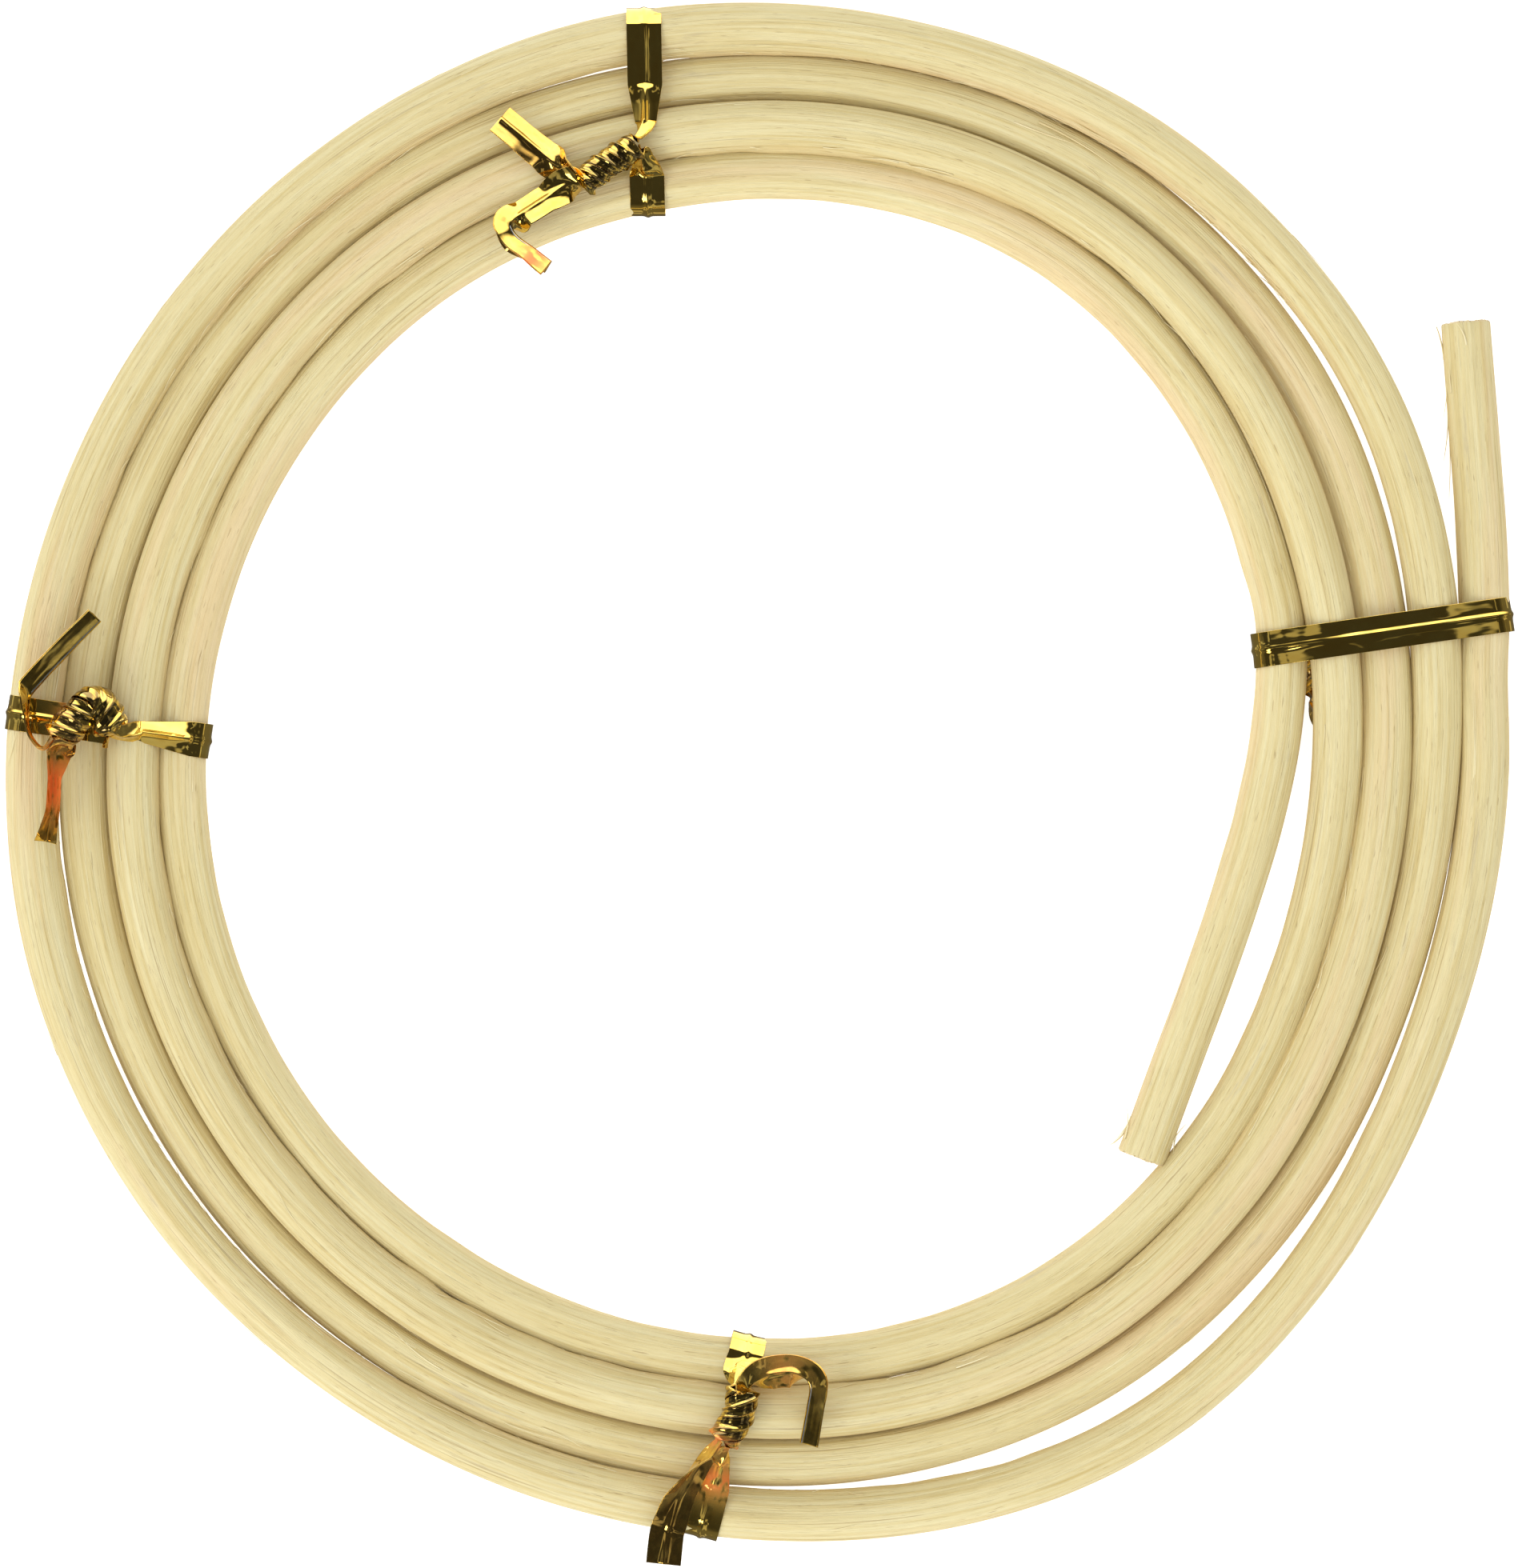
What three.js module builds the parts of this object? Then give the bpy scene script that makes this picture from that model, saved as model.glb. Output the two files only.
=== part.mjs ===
// A frame for a wreath, as it is sold: one rod of rattan reed wound into a flat ring of a little over
// four turns, and four foil twist ties that hold the turns together. Each tie is a steel wire between
// two strips of metallised film, passed round all the turns and twisted shut.
//
// Millimetres, +Z up. The ring lies flat on z = 0. The twist of three ties is on top, and the twist of
// the right-hand tie is underneath, so the ring is propped up a little on that side.

import * as THREE from 'three';

// ---- driving dimensions ----

const REED_WIDTH = 6.1;         // across the rod, in the plane of the ring
const REED_HEIGHT = 5.7;
const REED_SQUARENESS = 2.3;    // exponent of its rounded outline: 2 is an ellipse
const REED_SIDES = 12;
const REED_STEP = 7.5;          // degrees round the ring between sections

const TURN_PITCH = 6.36;        // from the middle of one turn to the middle of the next
const HIGH_TURN_RISE = 2.0;     // every other turn rides this much higher than its neighbours
const RISE_SPAN = 30;           // degrees each side of +X in which a turn changes its height
const KNOT_LIFT = 2.2;          // the right-hand twist lifts the ring by this much
const KNOT_LIFT_SPREAD = 30;    // degrees

const TIE_WIDTH = 4.5;
const WIRE_RADIUS = 0.2;
const FILM_THICKNESS = 0.12;
const FILM_OFF_WIRE = 0.12;     // between the wire and the film on each side
const FILM_OFF_FILM = 0.08;     // from the middle of the tie to the film, along its edges
const RIDGE_FLAT = 0.8;         // width of the flat top of the ridge over the wire
const CLEARANCE = 0.4;          // between a tie and the reed

const TIE_HALF = WIRE_RADIUS + FILM_OFF_WIRE + FILM_THICKNESS;
const KNOT_STRAND_OFFSET = TIE_HALF + 0.25;   // from a twist's axis to each of its two strands
const KNOT_STEP = 30;           // degrees of twist between sections
const KNOT_LEAD = 4.0;          // the tie is flat again this far from its twist
const HAIRPIN_LEAD = 1.2;       // or this far, where it turns back in a hairpin
const LEAD_STEPS = 5;           // sections between there and the twist
const LEAD_HANDLE = 1.4;        // how far the tie keeps its direction at each end of that stretch
const BEND_STEP = 0.6;          // no two sections round the ring's edges are closer together
const TAIL_STEPS = 2;           // sections for each point of a free end
const NEAREST_TURN = -10;       // the turns that a tie holds lie between these two, measured outwards
const FARTHEST_TURN = 45;       // from the tie's inner bend
const OUTLINE_STEP = 30;        // degrees round each turn between the points that a tie bends over

const LOW_TURN_Z = 2 * TIE_HALF + CLEARANCE + REED_HEIGHT / 2;

// The middle of the ring's hole, which puts the bounding box of the whole over the origin.
const RING_CENTRE = new THREE.Vector3(-0.2, 1.4, 0);

// ---- the reed's route ----

// How far the second turn is from the ring's centre, every 20 degrees from +X towards +Y, with the
// growth of one pitch in each turn taken out. The hand-wound ring is not quite round.
const RING_RADII = [
  75.0, 77.0, 80.1, 82.5, 82.6, 81.9, 81.3, 80.1, 78.9,
  78.4, 78.3, 78.4, 78.4, 78.6, 79.1, 78.7, 76.6, 74.7,
];

// Where the rod stands away from that even spiral: the middle of the bulge and its spread in degrees
// along the rod, 0 being where the first full turn crosses +X, and its rise in millimetres.
const BULGES = [
  { at: 70, spread: 20, rise: 0.3 },
  { at: 328, spread: 12, rise: 0.3 },
  { at: 748, spread: 13, rise: 0.7 },
  { at: 794, spread: 15, rise: -0.2 },
  { at: 1108, spread: 13, rise: 1.5 },
  { at: 1152, spread: 13, rise: -0.5 },
  { at: 1181, spread: 7, rise: 0.3 },
  { at: 1217, spread: 14, rise: -0.3 },
  { at: 1277, spread: 15, rise: 0.6 },
  { at: 1380, spread: 17, rise: 2.3 },
];

// The two free ends run nearly straight, so their routes are points, from the cut end inwards at the
// start of the rod and outwards at its finish.
const INNER_END = [[49.9, -50.3], [54.4, -38.1], [58.4, -27.2], [62.0, -16.6], [65.2, -5.7], [67.4, 5.9]];
const OUTER_END = [[94.2, 20.4], [93.8, 32.0], [93.0, 43.0], [91.9, 58.0]];
const FIRST_COILED = 15;        // degrees along the rod
const LAST_COILED = 1447.5;

function catmullRom(before, from, to, after, t) {
  const slopeFrom = (to - before) / 2;
  const slopeTo = (after - from) / 2;
  const quadratic = 3 * (to - from) - 2 * slopeFrom - slopeTo;
  const cubic = 2 * (from - to) + slopeFrom + slopeTo;
  return from + slopeFrom * t + quadratic * t * t + cubic * t * t * t;
}

function ringRadius(degrees) {
  const count = RING_RADII.length;
  const place = THREE.MathUtils.euclideanModulo(degrees, 360) * count / 360;
  const knot = Math.floor(place);
  const radius = (step) => RING_RADII[(knot + step + count) % count];
  return catmullRom(radius(-1), radius(0), radius(1), radius(2), place - knot);
}

function bell(distance, spread) {
  return Math.exp(-0.5 * (distance / spread) ** 2);
}

function coilRadius(degrees) {
  const even = ringRadius(degrees) + TURN_PITCH * (degrees / 360 - 1);
  return BULGES.reduce((sum, bulge) => sum + bulge.rise * bell(degrees - bulge.at, bulge.spread), even);
}

// The rod's height changes from low to high, or back, each time that it passes +X.
function coilHeight(degrees) {
  const turn = Math.round(degrees / 360);
  const high = Math.abs(turn) % 2;
  const change = THREE.MathUtils.smoothstep(degrees - 360 * turn, -RISE_SPAN, RISE_SPAN);
  const before = turn <= 0 ? 0 : 1 - high;
  const after = turn <= 0 ? 0 : high;
  const fromRightTie = degrees - 360 * turn - 10;
  const lift = KNOT_LIFT * bell(fromRightTie, KNOT_LIFT_SPREAD);
  return LOW_TURN_Z + HIGH_TURN_RISE * THREE.MathUtils.lerp(before, after, change) + lift;
}

function freeEnd(points, turn) {
  return points.map(([x, y]) => {
    const degrees = THREE.MathUtils.radToDeg(Math.atan2(y, x)) + 360 * turn;
    return new THREE.Vector3(x, y, coilHeight(degrees)).add(RING_CENTRE);
  });
}

function reedRoute() {
  const coiled = [];
  for (let degrees = FIRST_COILED; degrees <= LAST_COILED; degrees += REED_STEP) {
    const angle = THREE.MathUtils.degToRad(degrees);
    const radius = coilRadius(degrees);
    const point = new THREE.Vector3(radius * Math.cos(angle), radius * Math.sin(angle), coilHeight(degrees));
    coiled.push(point.add(RING_CENTRE));
  }
  return [...freeEnd(INNER_END, 0), ...coiled, ...freeEnd(OUTER_END, 4)];
}

// ---- sweeping a section along stations ----

// A station is a place on a route: its position, the direction across the section, the direction out
// of its face, and its width. Each mesh is one closed skin with flat caps. Every four-sided patch is
// split on the same slant, so that the layers of a twisted strip stay apart.
function sweep(stations, sectionOf) {
  const rings = stations.map((station) => sectionOf(station.width).map(([x, y]) => (
    station.position.clone().addScaledVector(station.across, x).addScaledVector(station.normal, y)
  )));
  const outline = sectionOf(stations[0].width).map(([x, y]) => new THREE.Vector2(x, y));
  const sides = outline.length;
  const triangles = [];
  for (let ring = 0; ring + 1 < rings.length; ring += 1) {
    for (let side = 0; side < sides; side += 1) {
      const next = (side + 1) % sides;
      const a = ring * sides + side;
      const b = ring * sides + next;
      if (outline[side].x < outline[next].x) {
        triangles.push([a, a + sides, b], [b, a + sides, b + sides]);
      } else {
        triangles.push([a, b + sides, b], [a, a + sides, b + sides]);
      }
    }
  }
  const lastRing = (rings.length - 1) * sides;
  for (const [a, b, c] of THREE.ShapeUtils.triangulateShape(outline, [])) {
    triangles.push([a, b, c], [lastRing + c, lastRing + b, lastRing + a]);
  }
  const geometry = new THREE.BufferGeometry().setFromPoints(rings.flat());
  geometry.setIndex(triangles.flat());
  geometry.computeVertexNormals();
  return geometry;
}

const UP = new THREE.Vector3(0, 0, 1);

function travelAt(points, place) {
  const before = points[Math.max(place - 1, 0)];
  const after = points[Math.min(place + 1, points.length - 1)];
  return after.clone().sub(before).normalize();
}

function reedSection() {
  const firstAngle = Math.PI / REED_SIDES;
  const power = 2 / REED_SQUARENESS;
  const rounded = (value) => Math.sign(value) * Math.abs(value) ** power;
  const widest = rounded(Math.cos(firstAngle));
  const points = [];
  for (let side = 0; side < REED_SIDES; side += 1) {
    const angle = firstAngle + side * 2 * Math.PI / REED_SIDES;
    points.push([
      REED_WIDTH / 2 * rounded(Math.cos(angle)) / widest,
      REED_HEIGHT / 2 * rounded(Math.sin(angle)) / widest,
    ]);
  }
  return points;
}

function reedGeometry(route) {
  const stations = route.map((position, place) => {
    const travel = travelAt(route, place);
    const across = travel.clone().cross(UP).normalize();
    return { position, across, normal: across.clone().cross(travel), width: REED_WIDTH };
  });
  return sweep(stations, reedSection);
}

// ---- the ties' sections ----

// One film: its inner face rises in a shallow roof over the wire, and its outer face is flat there.
function filmSection(face) {
  const overWire = WIRE_RADIUS + FILM_OFF_WIRE;
  return (width) => {
    const points = [
      [-width / 2, FILM_OFF_FILM],
      [0, overWire],
      [width / 2, FILM_OFF_FILM],
      [width / 2, FILM_OFF_FILM + FILM_THICKNESS],
      [RIDGE_FLAT / 2, overWire + FILM_THICKNESS],
      [-RIDGE_FLAT / 2, overWire + FILM_THICKNESS],
      [-width / 2, FILM_OFF_FILM + FILM_THICKNESS],
    ];
    return face > 0 ? points : points.map(([x, y]) => [x, -y]).reverse();
  };
}

function wireSection() {
  const sides = 6;
  return Array.from({ length: sides }, (_, side) => {
    const angle = side * 2 * Math.PI / sides;
    return [WIRE_RADIUS * Math.cos(angle), WIRE_RADIUS * Math.sin(angle)];
  });
}

// ---- the ties' routes ----

// inner and outer: where the tie bends over the ring's inner and outer edge, seen from above.
// side: 1 when the twist is on top of the ring, -1 when it is underneath.
// knot: the middle line of the twist, from where the tie comes into it.
// inline: the two ends come into the twist from opposite ends; otherwise both come in at its start.
// doublesBack: the outer half of the tie turns back over itself in a hairpin to go into the twist.
// tails: the free end that follows the outer half of the tie, then the one that follows the inner half,
// each with its own points [x, y, height over the band, roll]. A roll of 0 faces up, and 90 is on edge.
const TIES = [
  {
    name: 'top_tie',
    inner: [-14.4, 72.9],
    outer: [-14.9, 98.9],
    side: 1,
    knot: [[-15.7, 80.7], [-19.4, 78.4], [-22.6, 76.0]],
    knotRise: 1.6,
    knotWidth: 2.8,
    turns: 1.5,
    tails: [
      [[-24.9, 74.9, 1.7, 35], [-28.6, 73.2, 1.6, 10], [-31.6, 71.0, 1.9, 55], [-31.6, 69.0, 2.3, 90],
        [-29.4, 67.3, 2.4, 75], [-26.7, 65.5, 2.4, 65]],
      [[-25.2, 77.0, 1.6, 100], [-28.2, 80.2, 0.9, 150], [-33.2, 84.6, 1.2, 160]],
    ],
  },
  {
    name: 'left_tie',
    inner: [-71.8, 3.8],
    outer: [-97.5, 7.6],
    side: 1,
    knot: [[-83.4, 5.4], [-86.8, 6.8], [-90.4, 7.0]],
    knotRise: 2.8,
    knotWidth: 2.6,
    turns: 1.75,
    doublesBack: true,
    tails: [
      [[-92.9, 8.4, 2.8, 90], [-93.4, 10.8, 2.8, 85], [-90.4, 13.8, 2.4, 75], [-84.9, 19.3, 2.2, 70]],
      [[-92.2, 4.2, 2.8, 90], [-91.8, -2.2, 2.1, 75], [-91.8, -8.9, 1.7, 40]],
    ],
  },
  {
    name: 'bottom_tie',
    inner: [-1.1, -73.6],
    outer: [-7.6, -99.2],
    side: 1,
    knot: [[-2.0, -80.0], [-2.6, -83.2], [-4.6, -86.4]],
    knotRise: 1.7,
    knotWidth: 2.8,
    turns: 1,
    inline: true,
    tails: [
      [[0.6, -77.4, 2.2, 70], [3.6, -76.4, 2.5, 60], [6.4, -78.0, 2.4, 70], [6.4, -81.6, 2.2, 70],
        [5.9, -86.7, 1.9, 65]],
      [[-8.4, -88.4, 2.7, 120], [-10.7, -93.4, 1.4, 155], [-12.0, -98.6, 0.8, 178],
        [-12.4, -102.6, 0.8, 180]],
    ],
  },
  {
    name: 'right_tie',
    inner: [64.4, 15.5],
    outer: [97.7, 20.3],
    side: -1,
    knot: [[71.0, 14.6], [71.2, 12.0], [71.4, 9.4]],
    knotRise: 1.2,
    knotWidth: 2.0,
    turns: 1,
    tails: [
      [[73.6, 7.2, 1.1, 40], [77.8, 5.8, 1.5, 5], [82.6, 5.0, 1.5, 0]],
      [[69.2, 7.2, 1.1, 40], [67.6, 4.0, 1.5, 5], [67.0, 0.2, 1.5, 0]],
    ],
  },
];

function station(position, normal, travel, width) {
  const across = travel.clone().cross(normal).normalize();
  return { position, across, normal: across.clone().cross(travel).normalize(), width };
}

// The curve of a tie from one station to the next, each with the direction in which the route passes it.
function lead(from, fromTravel, to, toTravel) {
  const curve = new THREE.CubicBezierCurve3(
    from.position,
    from.position.clone().addScaledVector(fromTravel, LEAD_HANDLE),
    to.position.clone().addScaledVector(toTravel, -LEAD_HANDLE),
    to.position,
  );
  const fromAcross = fromTravel.clone().cross(from.normal);
  const toAcross = toTravel.clone().cross(to.normal);
  return Array.from({ length: LEAD_STEPS }, (_, place) => {
    const part = (place + 1) / (LEAD_STEPS + 1);
    const travel = curve.getTangent(part);
    const across = fromAcross.clone().lerp(toAcross, part);
    const width = THREE.MathUtils.lerp(from.width, to.width, part);
    return station(curve.getPoint(part), across.cross(travel), travel, width);
  });
}

// Andrew's monotone chain, anticlockwise.
function convexHull(points) {
  const sorted = [...points].sort((a, b) => a.x - b.x || a.y - b.y);
  const turnsLeft = (a, b, c) => (b.x - a.x) * (c.y - a.y) - (b.y - a.y) * (c.x - a.x) > 0;
  const chain = (list) => {
    const kept = [];
    for (const point of list) {
      while (kept.length > 1 && !turnsLeft(kept[kept.length - 2], kept[kept.length - 1], point)) {
        kept.pop();
      }
      kept.push(point);
    }
    return kept.slice(0, -1);
  };
  return [...chain(sorted), ...chain(sorted.reverse())];
}

// The outline of all the turns in the upright plane of a tie, grown to the middle of the tie's
// thickness: x is measured outwards from the tie's inner bend, and y is the height.
function bundleOutline(route, start, outwards) {
  const sideways = UP.clone().cross(outwards);
  const grown = CLEARANCE + TIE_HALF;
  const samples = [];
  for (let place = 0; place + 1 < route.length; place += 1) {
    const from = route[place].clone().sub(start);
    const to = route[place + 1].clone().sub(start);
    const fromSide = from.dot(sideways);
    const toSide = to.dot(sideways);
    const crossing = from.lerp(to, fromSide / (fromSide - toSide));
    const reach = crossing.dot(outwards);
    if (fromSide * toSide > 0 || reach < NEAREST_TURN || reach > FARTHEST_TURN) {
      continue;
    }
    const along = to.clone().sub(route[place].clone().sub(start));
    const slant = Math.abs(along.dot(outwards) / along.dot(sideways)) * TIE_WIDTH / 2;
    for (let angle = 0; angle < 360; angle += OUTLINE_STEP) {
      const radians = THREE.MathUtils.degToRad(angle);
      samples.push(new THREE.Vector2(
        reach + (REED_WIDTH / 2 + grown + slant) * Math.cos(radians),
        crossing.z + (REED_HEIGHT / 2 + grown) * Math.sin(radians),
      ));
    }
  }
  return convexHull(samples);
}

// The flat part of a tie: from the outer side of the twist, round the outer edge of the ring, across
// its far side, round the inner edge and back to the twist.
function bandStations(tie, route, start, outwards) {
  const reachOf = ([x, y]) => new THREE.Vector3(x, y, 0).add(RING_CENTRE).sub(start).dot(outwards);
  const innerReach = reachOf(tie.knot[0]) - KNOT_LEAD;
  const outerEntry = tie.inline ? tie.knot[tie.knot.length - 1] : tie.knot[0];
  const outerReach = reachOf(outerEntry) + (tie.doublesBack ? HAIRPIN_LEAD : KNOT_LEAD);
  const outline = bundleOutline(route, start, outwards);
  const middle = outline.reduce((sum, point) => sum + point.y, 0) / outline.length;
  const onTwistSide = (point) => (point.y - middle) * tie.side > 0;
  const underTwist = (point) => point.x > innerReach && point.x < outerReach;
  const heightAt = (reach) => {
    const near = outline.filter(onTwistSide).sort((a, b) => a.x - b.x);
    const after = Math.max(near.findIndex((point) => point.x > reach), 1);
    const part = (reach - near[after - 1].x) / (near[after].x - near[after - 1].x);
    return THREE.MathUtils.lerp(near[after - 1].y, near[after].y, part);
  };
  const kept = outline.filter((point) => !(onTwistSide(point) && underTwist(point)));
  kept.push(new THREE.Vector2(innerReach, heightAt(innerReach)));
  kept.push(new THREE.Vector2(outerReach, heightAt(outerReach)));
  const centre = new THREE.Vector2((innerReach + outerReach) / 2, middle);
  const outerFirst = (point) => {
    const angle = Math.atan2((point.y - centre.y) * tie.side, point.x - centre.x);
    return THREE.MathUtils.euclideanModulo(Math.PI / 2 - angle, 2 * Math.PI);
  };
  kept.sort((a, b) => outerFirst(a) - outerFirst(b));
  const isApart = (point, place) => (
    place === 0 || place === kept.length - 1 || (
      point.distanceTo(kept[place - 1]) > BEND_STEP && point.distanceTo(kept[kept.length - 1]) > BEND_STEP
    )
  );
  const points = kept.filter(isApart).map((point) => (
    start.clone().addScaledVector(outwards, point.x).setZ(point.y)
  ));
  return points.map((position, place) => {
    const travel = travelAt(points, place);
    const normal = travel.clone().cross(UP.clone().cross(outwards)).multiplyScalar(tie.side);
    return station(position, normal, travel, TIE_WIDTH);
  });
}

// Both strands of a twist, from its start to its end: two strips back to back, turning about one axis.
function knotStations(tie, outwards, bandZ) {
  const axisZ = bandZ + tie.side * tie.knotRise;
  const points = tie.knot.map(([x, y]) => new THREE.Vector3(x, y, axisZ).add(RING_CENTRE));
  const axis = new THREE.CatmullRomCurve3(points);
  const steps = Math.round(tie.turns * 360 / KNOT_STEP);
  let firstAngle = 0;
  if (tie.doublesBack) {
    firstAngle = -90;
  } else if (!tie.inline && UP.clone().cross(axis.getTangent(0)).dot(outwards) < 0) {
    firstAngle = 180;
  }
  const strand = (outerStrand) => Array.from({ length: steps + 1 }, (_, step) => {
    const part = step / steps;
    const travel = axis.getTangent(part);
    const level = UP.clone().cross(travel).normalize();
    const angle = THREE.MathUtils.degToRad(firstAngle + part * tie.turns * 360);
    const normal = level.applyAxisAngle(travel, angle).multiplyScalar(outerStrand ? 1 : -1);
    const position = axis.getPoint(part).addScaledVector(normal, KNOT_STRAND_OFFSET);
    return station(position, normal, travel, tie.knotWidth);
  });
  return {
    outer: strand(true),
    inner: strand(false),
    outerTravel: tie.inline ? axis.getTangent(1) : axis.getTangent(0).negate(),
    innerTravel: axis.getTangent(0),
  };
}

// A free end leaves the twist on edge, and rolls from there the way that its face already points.
function tailStations(tie, points, knotEnd, bandZ) {
  const positions = points.map(([x, y, rise]) => (
    new THREE.Vector3(x, y, bandZ + tie.side * rise).add(RING_CENTRE)
  ));
  const line = new THREE.CatmullRomCurve3([knotEnd.position, ...positions]);
  const rolls = [90, ...points.map(([, , , roll]) => roll)];
  const rolled = (travel, degrees) => {
    const flat = travel.clone().cross(UP).cross(travel).normalize().multiplyScalar(tie.side);
    return flat.applyAxisAngle(travel, THREE.MathUtils.degToRad(degrees));
  };
  const way = rolled(line.getTangent(0), 90).dot(knotEnd.normal) > 0 ? 1 : -1;
  return Array.from({ length: points.length * TAIL_STEPS }, (_, step) => {
    const place = (step + 1) / TAIL_STEPS;
    const from = Math.ceil(place) - 1;
    const roll = THREE.MathUtils.lerp(rolls[from], rolls[from + 1], place - from);
    const travel = line.getTangent(place / points.length);
    const width = THREE.MathUtils.lerp(tie.knotWidth, TIE_WIDTH, Math.min(place, 1));
    return station(line.getPoint(place / points.length), rolled(travel, way * roll), travel, width);
  });
}

// The parts of a tie are laid out in two directions. This gives the whole route one direction, and
// takes out any half turn that a strip would otherwise make between two stations.
function asOneRoute(stations) {
  const positions = stations.map(({ position }) => position);
  return stations.map((one, place) => {
    const travel = travelAt(positions, place);
    const wanted = travel.clone().cross(one.normal);
    const across = one.across.clone();
    if (across.dot(wanted) < 0) {
      across.negate();
    }
    return { ...one, across };
  });
}

// The wire is square to its own path, and turns about it no more than it must.
function squareToPath(stations) {
  const positions = stations.map(({ position }) => position);
  let { normal } = stations[0];
  return stations.map((one, place) => {
    const travel = travelAt(positions, place);
    const square = station(one.position, normal, travel, one.width);
    normal = square.normal;
    return square;
  });
}

function tieStations(tie, route) {
  const start = new THREE.Vector3(...tie.inner, 0).add(RING_CENTRE);
  const end = new THREE.Vector3(...tie.outer, 0).add(RING_CENTRE);
  const outwards = end.sub(start).normalize();
  const band = bandStations(tie, route, start, outwards);
  const bandZ = band[0].position.z;
  const knot = knotStations(tie, outwards, bandZ);
  const outerStrand = tie.inline ? knot.outer : [...knot.outer].reverse();
  const outerExit = outerStrand[0];
  const innerExit = knot.inner[knot.inner.length - 1];
  const outerTail = tailStations(tie, tie.tails[0], outerExit, bandZ).reverse();
  const innerTail = tailStations(tie, tie.tails[1], innerExit, bandZ);
  const outerEntry = outerStrand[outerStrand.length - 1];
  return asOneRoute([
    ...outerTail,
    ...outerStrand,
    ...lead(outerEntry, knot.outerTravel, band[0], outwards),
    ...band,
    ...lead(band[band.length - 1], outwards, knot.inner[0], knot.innerTravel),
    ...knot.inner,
    ...innerTail,
  ]);
}

// ---- the assembly ----

const reedMaterial = new THREE.MeshStandardMaterial({ color: 0xe6d7a0, roughness: 0.75, metalness: 0 });
const faceFilmMaterial = new THREE.MeshStandardMaterial({ color: 0xd9b44a, roughness: 0.12, metalness: 1 });
const backFilmMaterial = new THREE.MeshStandardMaterial({ color: 0xc98a3c, roughness: 0.15, metalness: 1 });
const wireMaterial = new THREE.MeshStandardMaterial({ color: 0x9a9a98, roughness: 0.35, metalness: 1 });

function named(name, geometry, material) {
  const mesh = new THREE.Mesh(geometry, material);
  mesh.name = name;
  return mesh;
}

function makeTie(tie, route) {
  const stations = tieStations(tie, route);
  const group = new THREE.Group();
  group.add(
    named(`${tie.name}_face_film`, sweep(stations, filmSection(1)), faceFilmMaterial),
    named(`${tie.name}_back_film`, sweep(stations, filmSection(-1)), backFilmMaterial),
    named(`${tie.name}_wire`, sweep(squareToPath(stations), wireSection), wireMaterial),
  );
  return group;
}

const route = reedRoute();
const wreathFrame = new THREE.Group();
wreathFrame.add(named('reed_rod', reedGeometry(route), reedMaterial));
for (const tie of TIES) {
  wreathFrame.add(makeTie(tie, route));
}

export default wreathFrame;
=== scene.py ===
# A frame for a wreath: one rod of rattan reed wound into a flat ring, and four foil twist ties.
# Lengths are in millimetres until a mesh is made, and MM turns them into metres.
import math

import bpy
import numpy as np
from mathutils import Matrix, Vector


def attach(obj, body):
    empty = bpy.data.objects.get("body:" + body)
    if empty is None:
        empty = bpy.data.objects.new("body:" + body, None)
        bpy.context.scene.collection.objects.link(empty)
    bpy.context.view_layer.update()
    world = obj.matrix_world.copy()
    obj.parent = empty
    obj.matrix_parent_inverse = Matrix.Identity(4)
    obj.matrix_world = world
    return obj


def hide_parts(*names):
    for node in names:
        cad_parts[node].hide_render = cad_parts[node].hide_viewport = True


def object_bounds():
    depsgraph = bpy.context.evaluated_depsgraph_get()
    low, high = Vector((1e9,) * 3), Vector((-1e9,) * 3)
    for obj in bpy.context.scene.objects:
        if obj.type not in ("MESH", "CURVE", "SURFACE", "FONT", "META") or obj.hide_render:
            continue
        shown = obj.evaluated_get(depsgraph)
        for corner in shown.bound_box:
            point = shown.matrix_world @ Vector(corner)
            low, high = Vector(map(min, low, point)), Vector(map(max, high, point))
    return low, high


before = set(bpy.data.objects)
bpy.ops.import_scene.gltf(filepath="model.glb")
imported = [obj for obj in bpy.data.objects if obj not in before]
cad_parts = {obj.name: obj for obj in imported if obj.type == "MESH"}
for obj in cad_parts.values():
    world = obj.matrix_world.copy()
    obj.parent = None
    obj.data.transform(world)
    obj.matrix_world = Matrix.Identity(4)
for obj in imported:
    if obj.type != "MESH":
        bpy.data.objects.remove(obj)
cad_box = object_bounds()

MM = 0.001
UP = np.array([0.0, 0.0, 1.0])

# ---- the frame's dimensions, as the CAD has them ----

REED_HEIGHT = 5.7
REED_STEP = 7.5             # degrees round the ring between points of the route
TURN_PITCH = 6.36           # from the middle of one turn to the middle of the next
HIGH_TURN_RISE = 2.0        # every other turn rides this much higher than its neighbours
RISE_SPAN = 30              # degrees each side of +X in which a turn changes its height
KNOT_LIFT = 2.2             # the right-hand twist lifts the ring by this much
KNOT_LIFT_SPREAD = 30       # degrees
TIE_WIDTH = 4.5
TIE_HALF = 0.44             # half a tie's thickness, at its wire
CLEARANCE = 0.4             # between a tie and the reed
KNOT_STEP = 30              # degrees of twist between stations
KNOT_LEAD = 4.0             # a tie is flat again this far from its twist
HAIRPIN_LEAD = 1.2          # or this far, where it doubles back
LEAD_STEPS = 5              # stations between there and the twist
LEAD_HANDLE = 1.4           # how far it keeps its direction at each end of them
BEND_STEP = 0.6             # no two stations of a band are closer together
TAIL_STEPS = 4              # stations for each point of a free end
NEAREST_TURN = -10          # a tie's turns are between these, outwards from its inner bend
FARTHEST_TURN = 45
OUTLINE_STEP = 30           # degrees round a turn between the points that a band bends over
LOW_TURN_Z = 2 * TIE_HALF + CLEARANCE + REED_HEIGHT / 2
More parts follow.
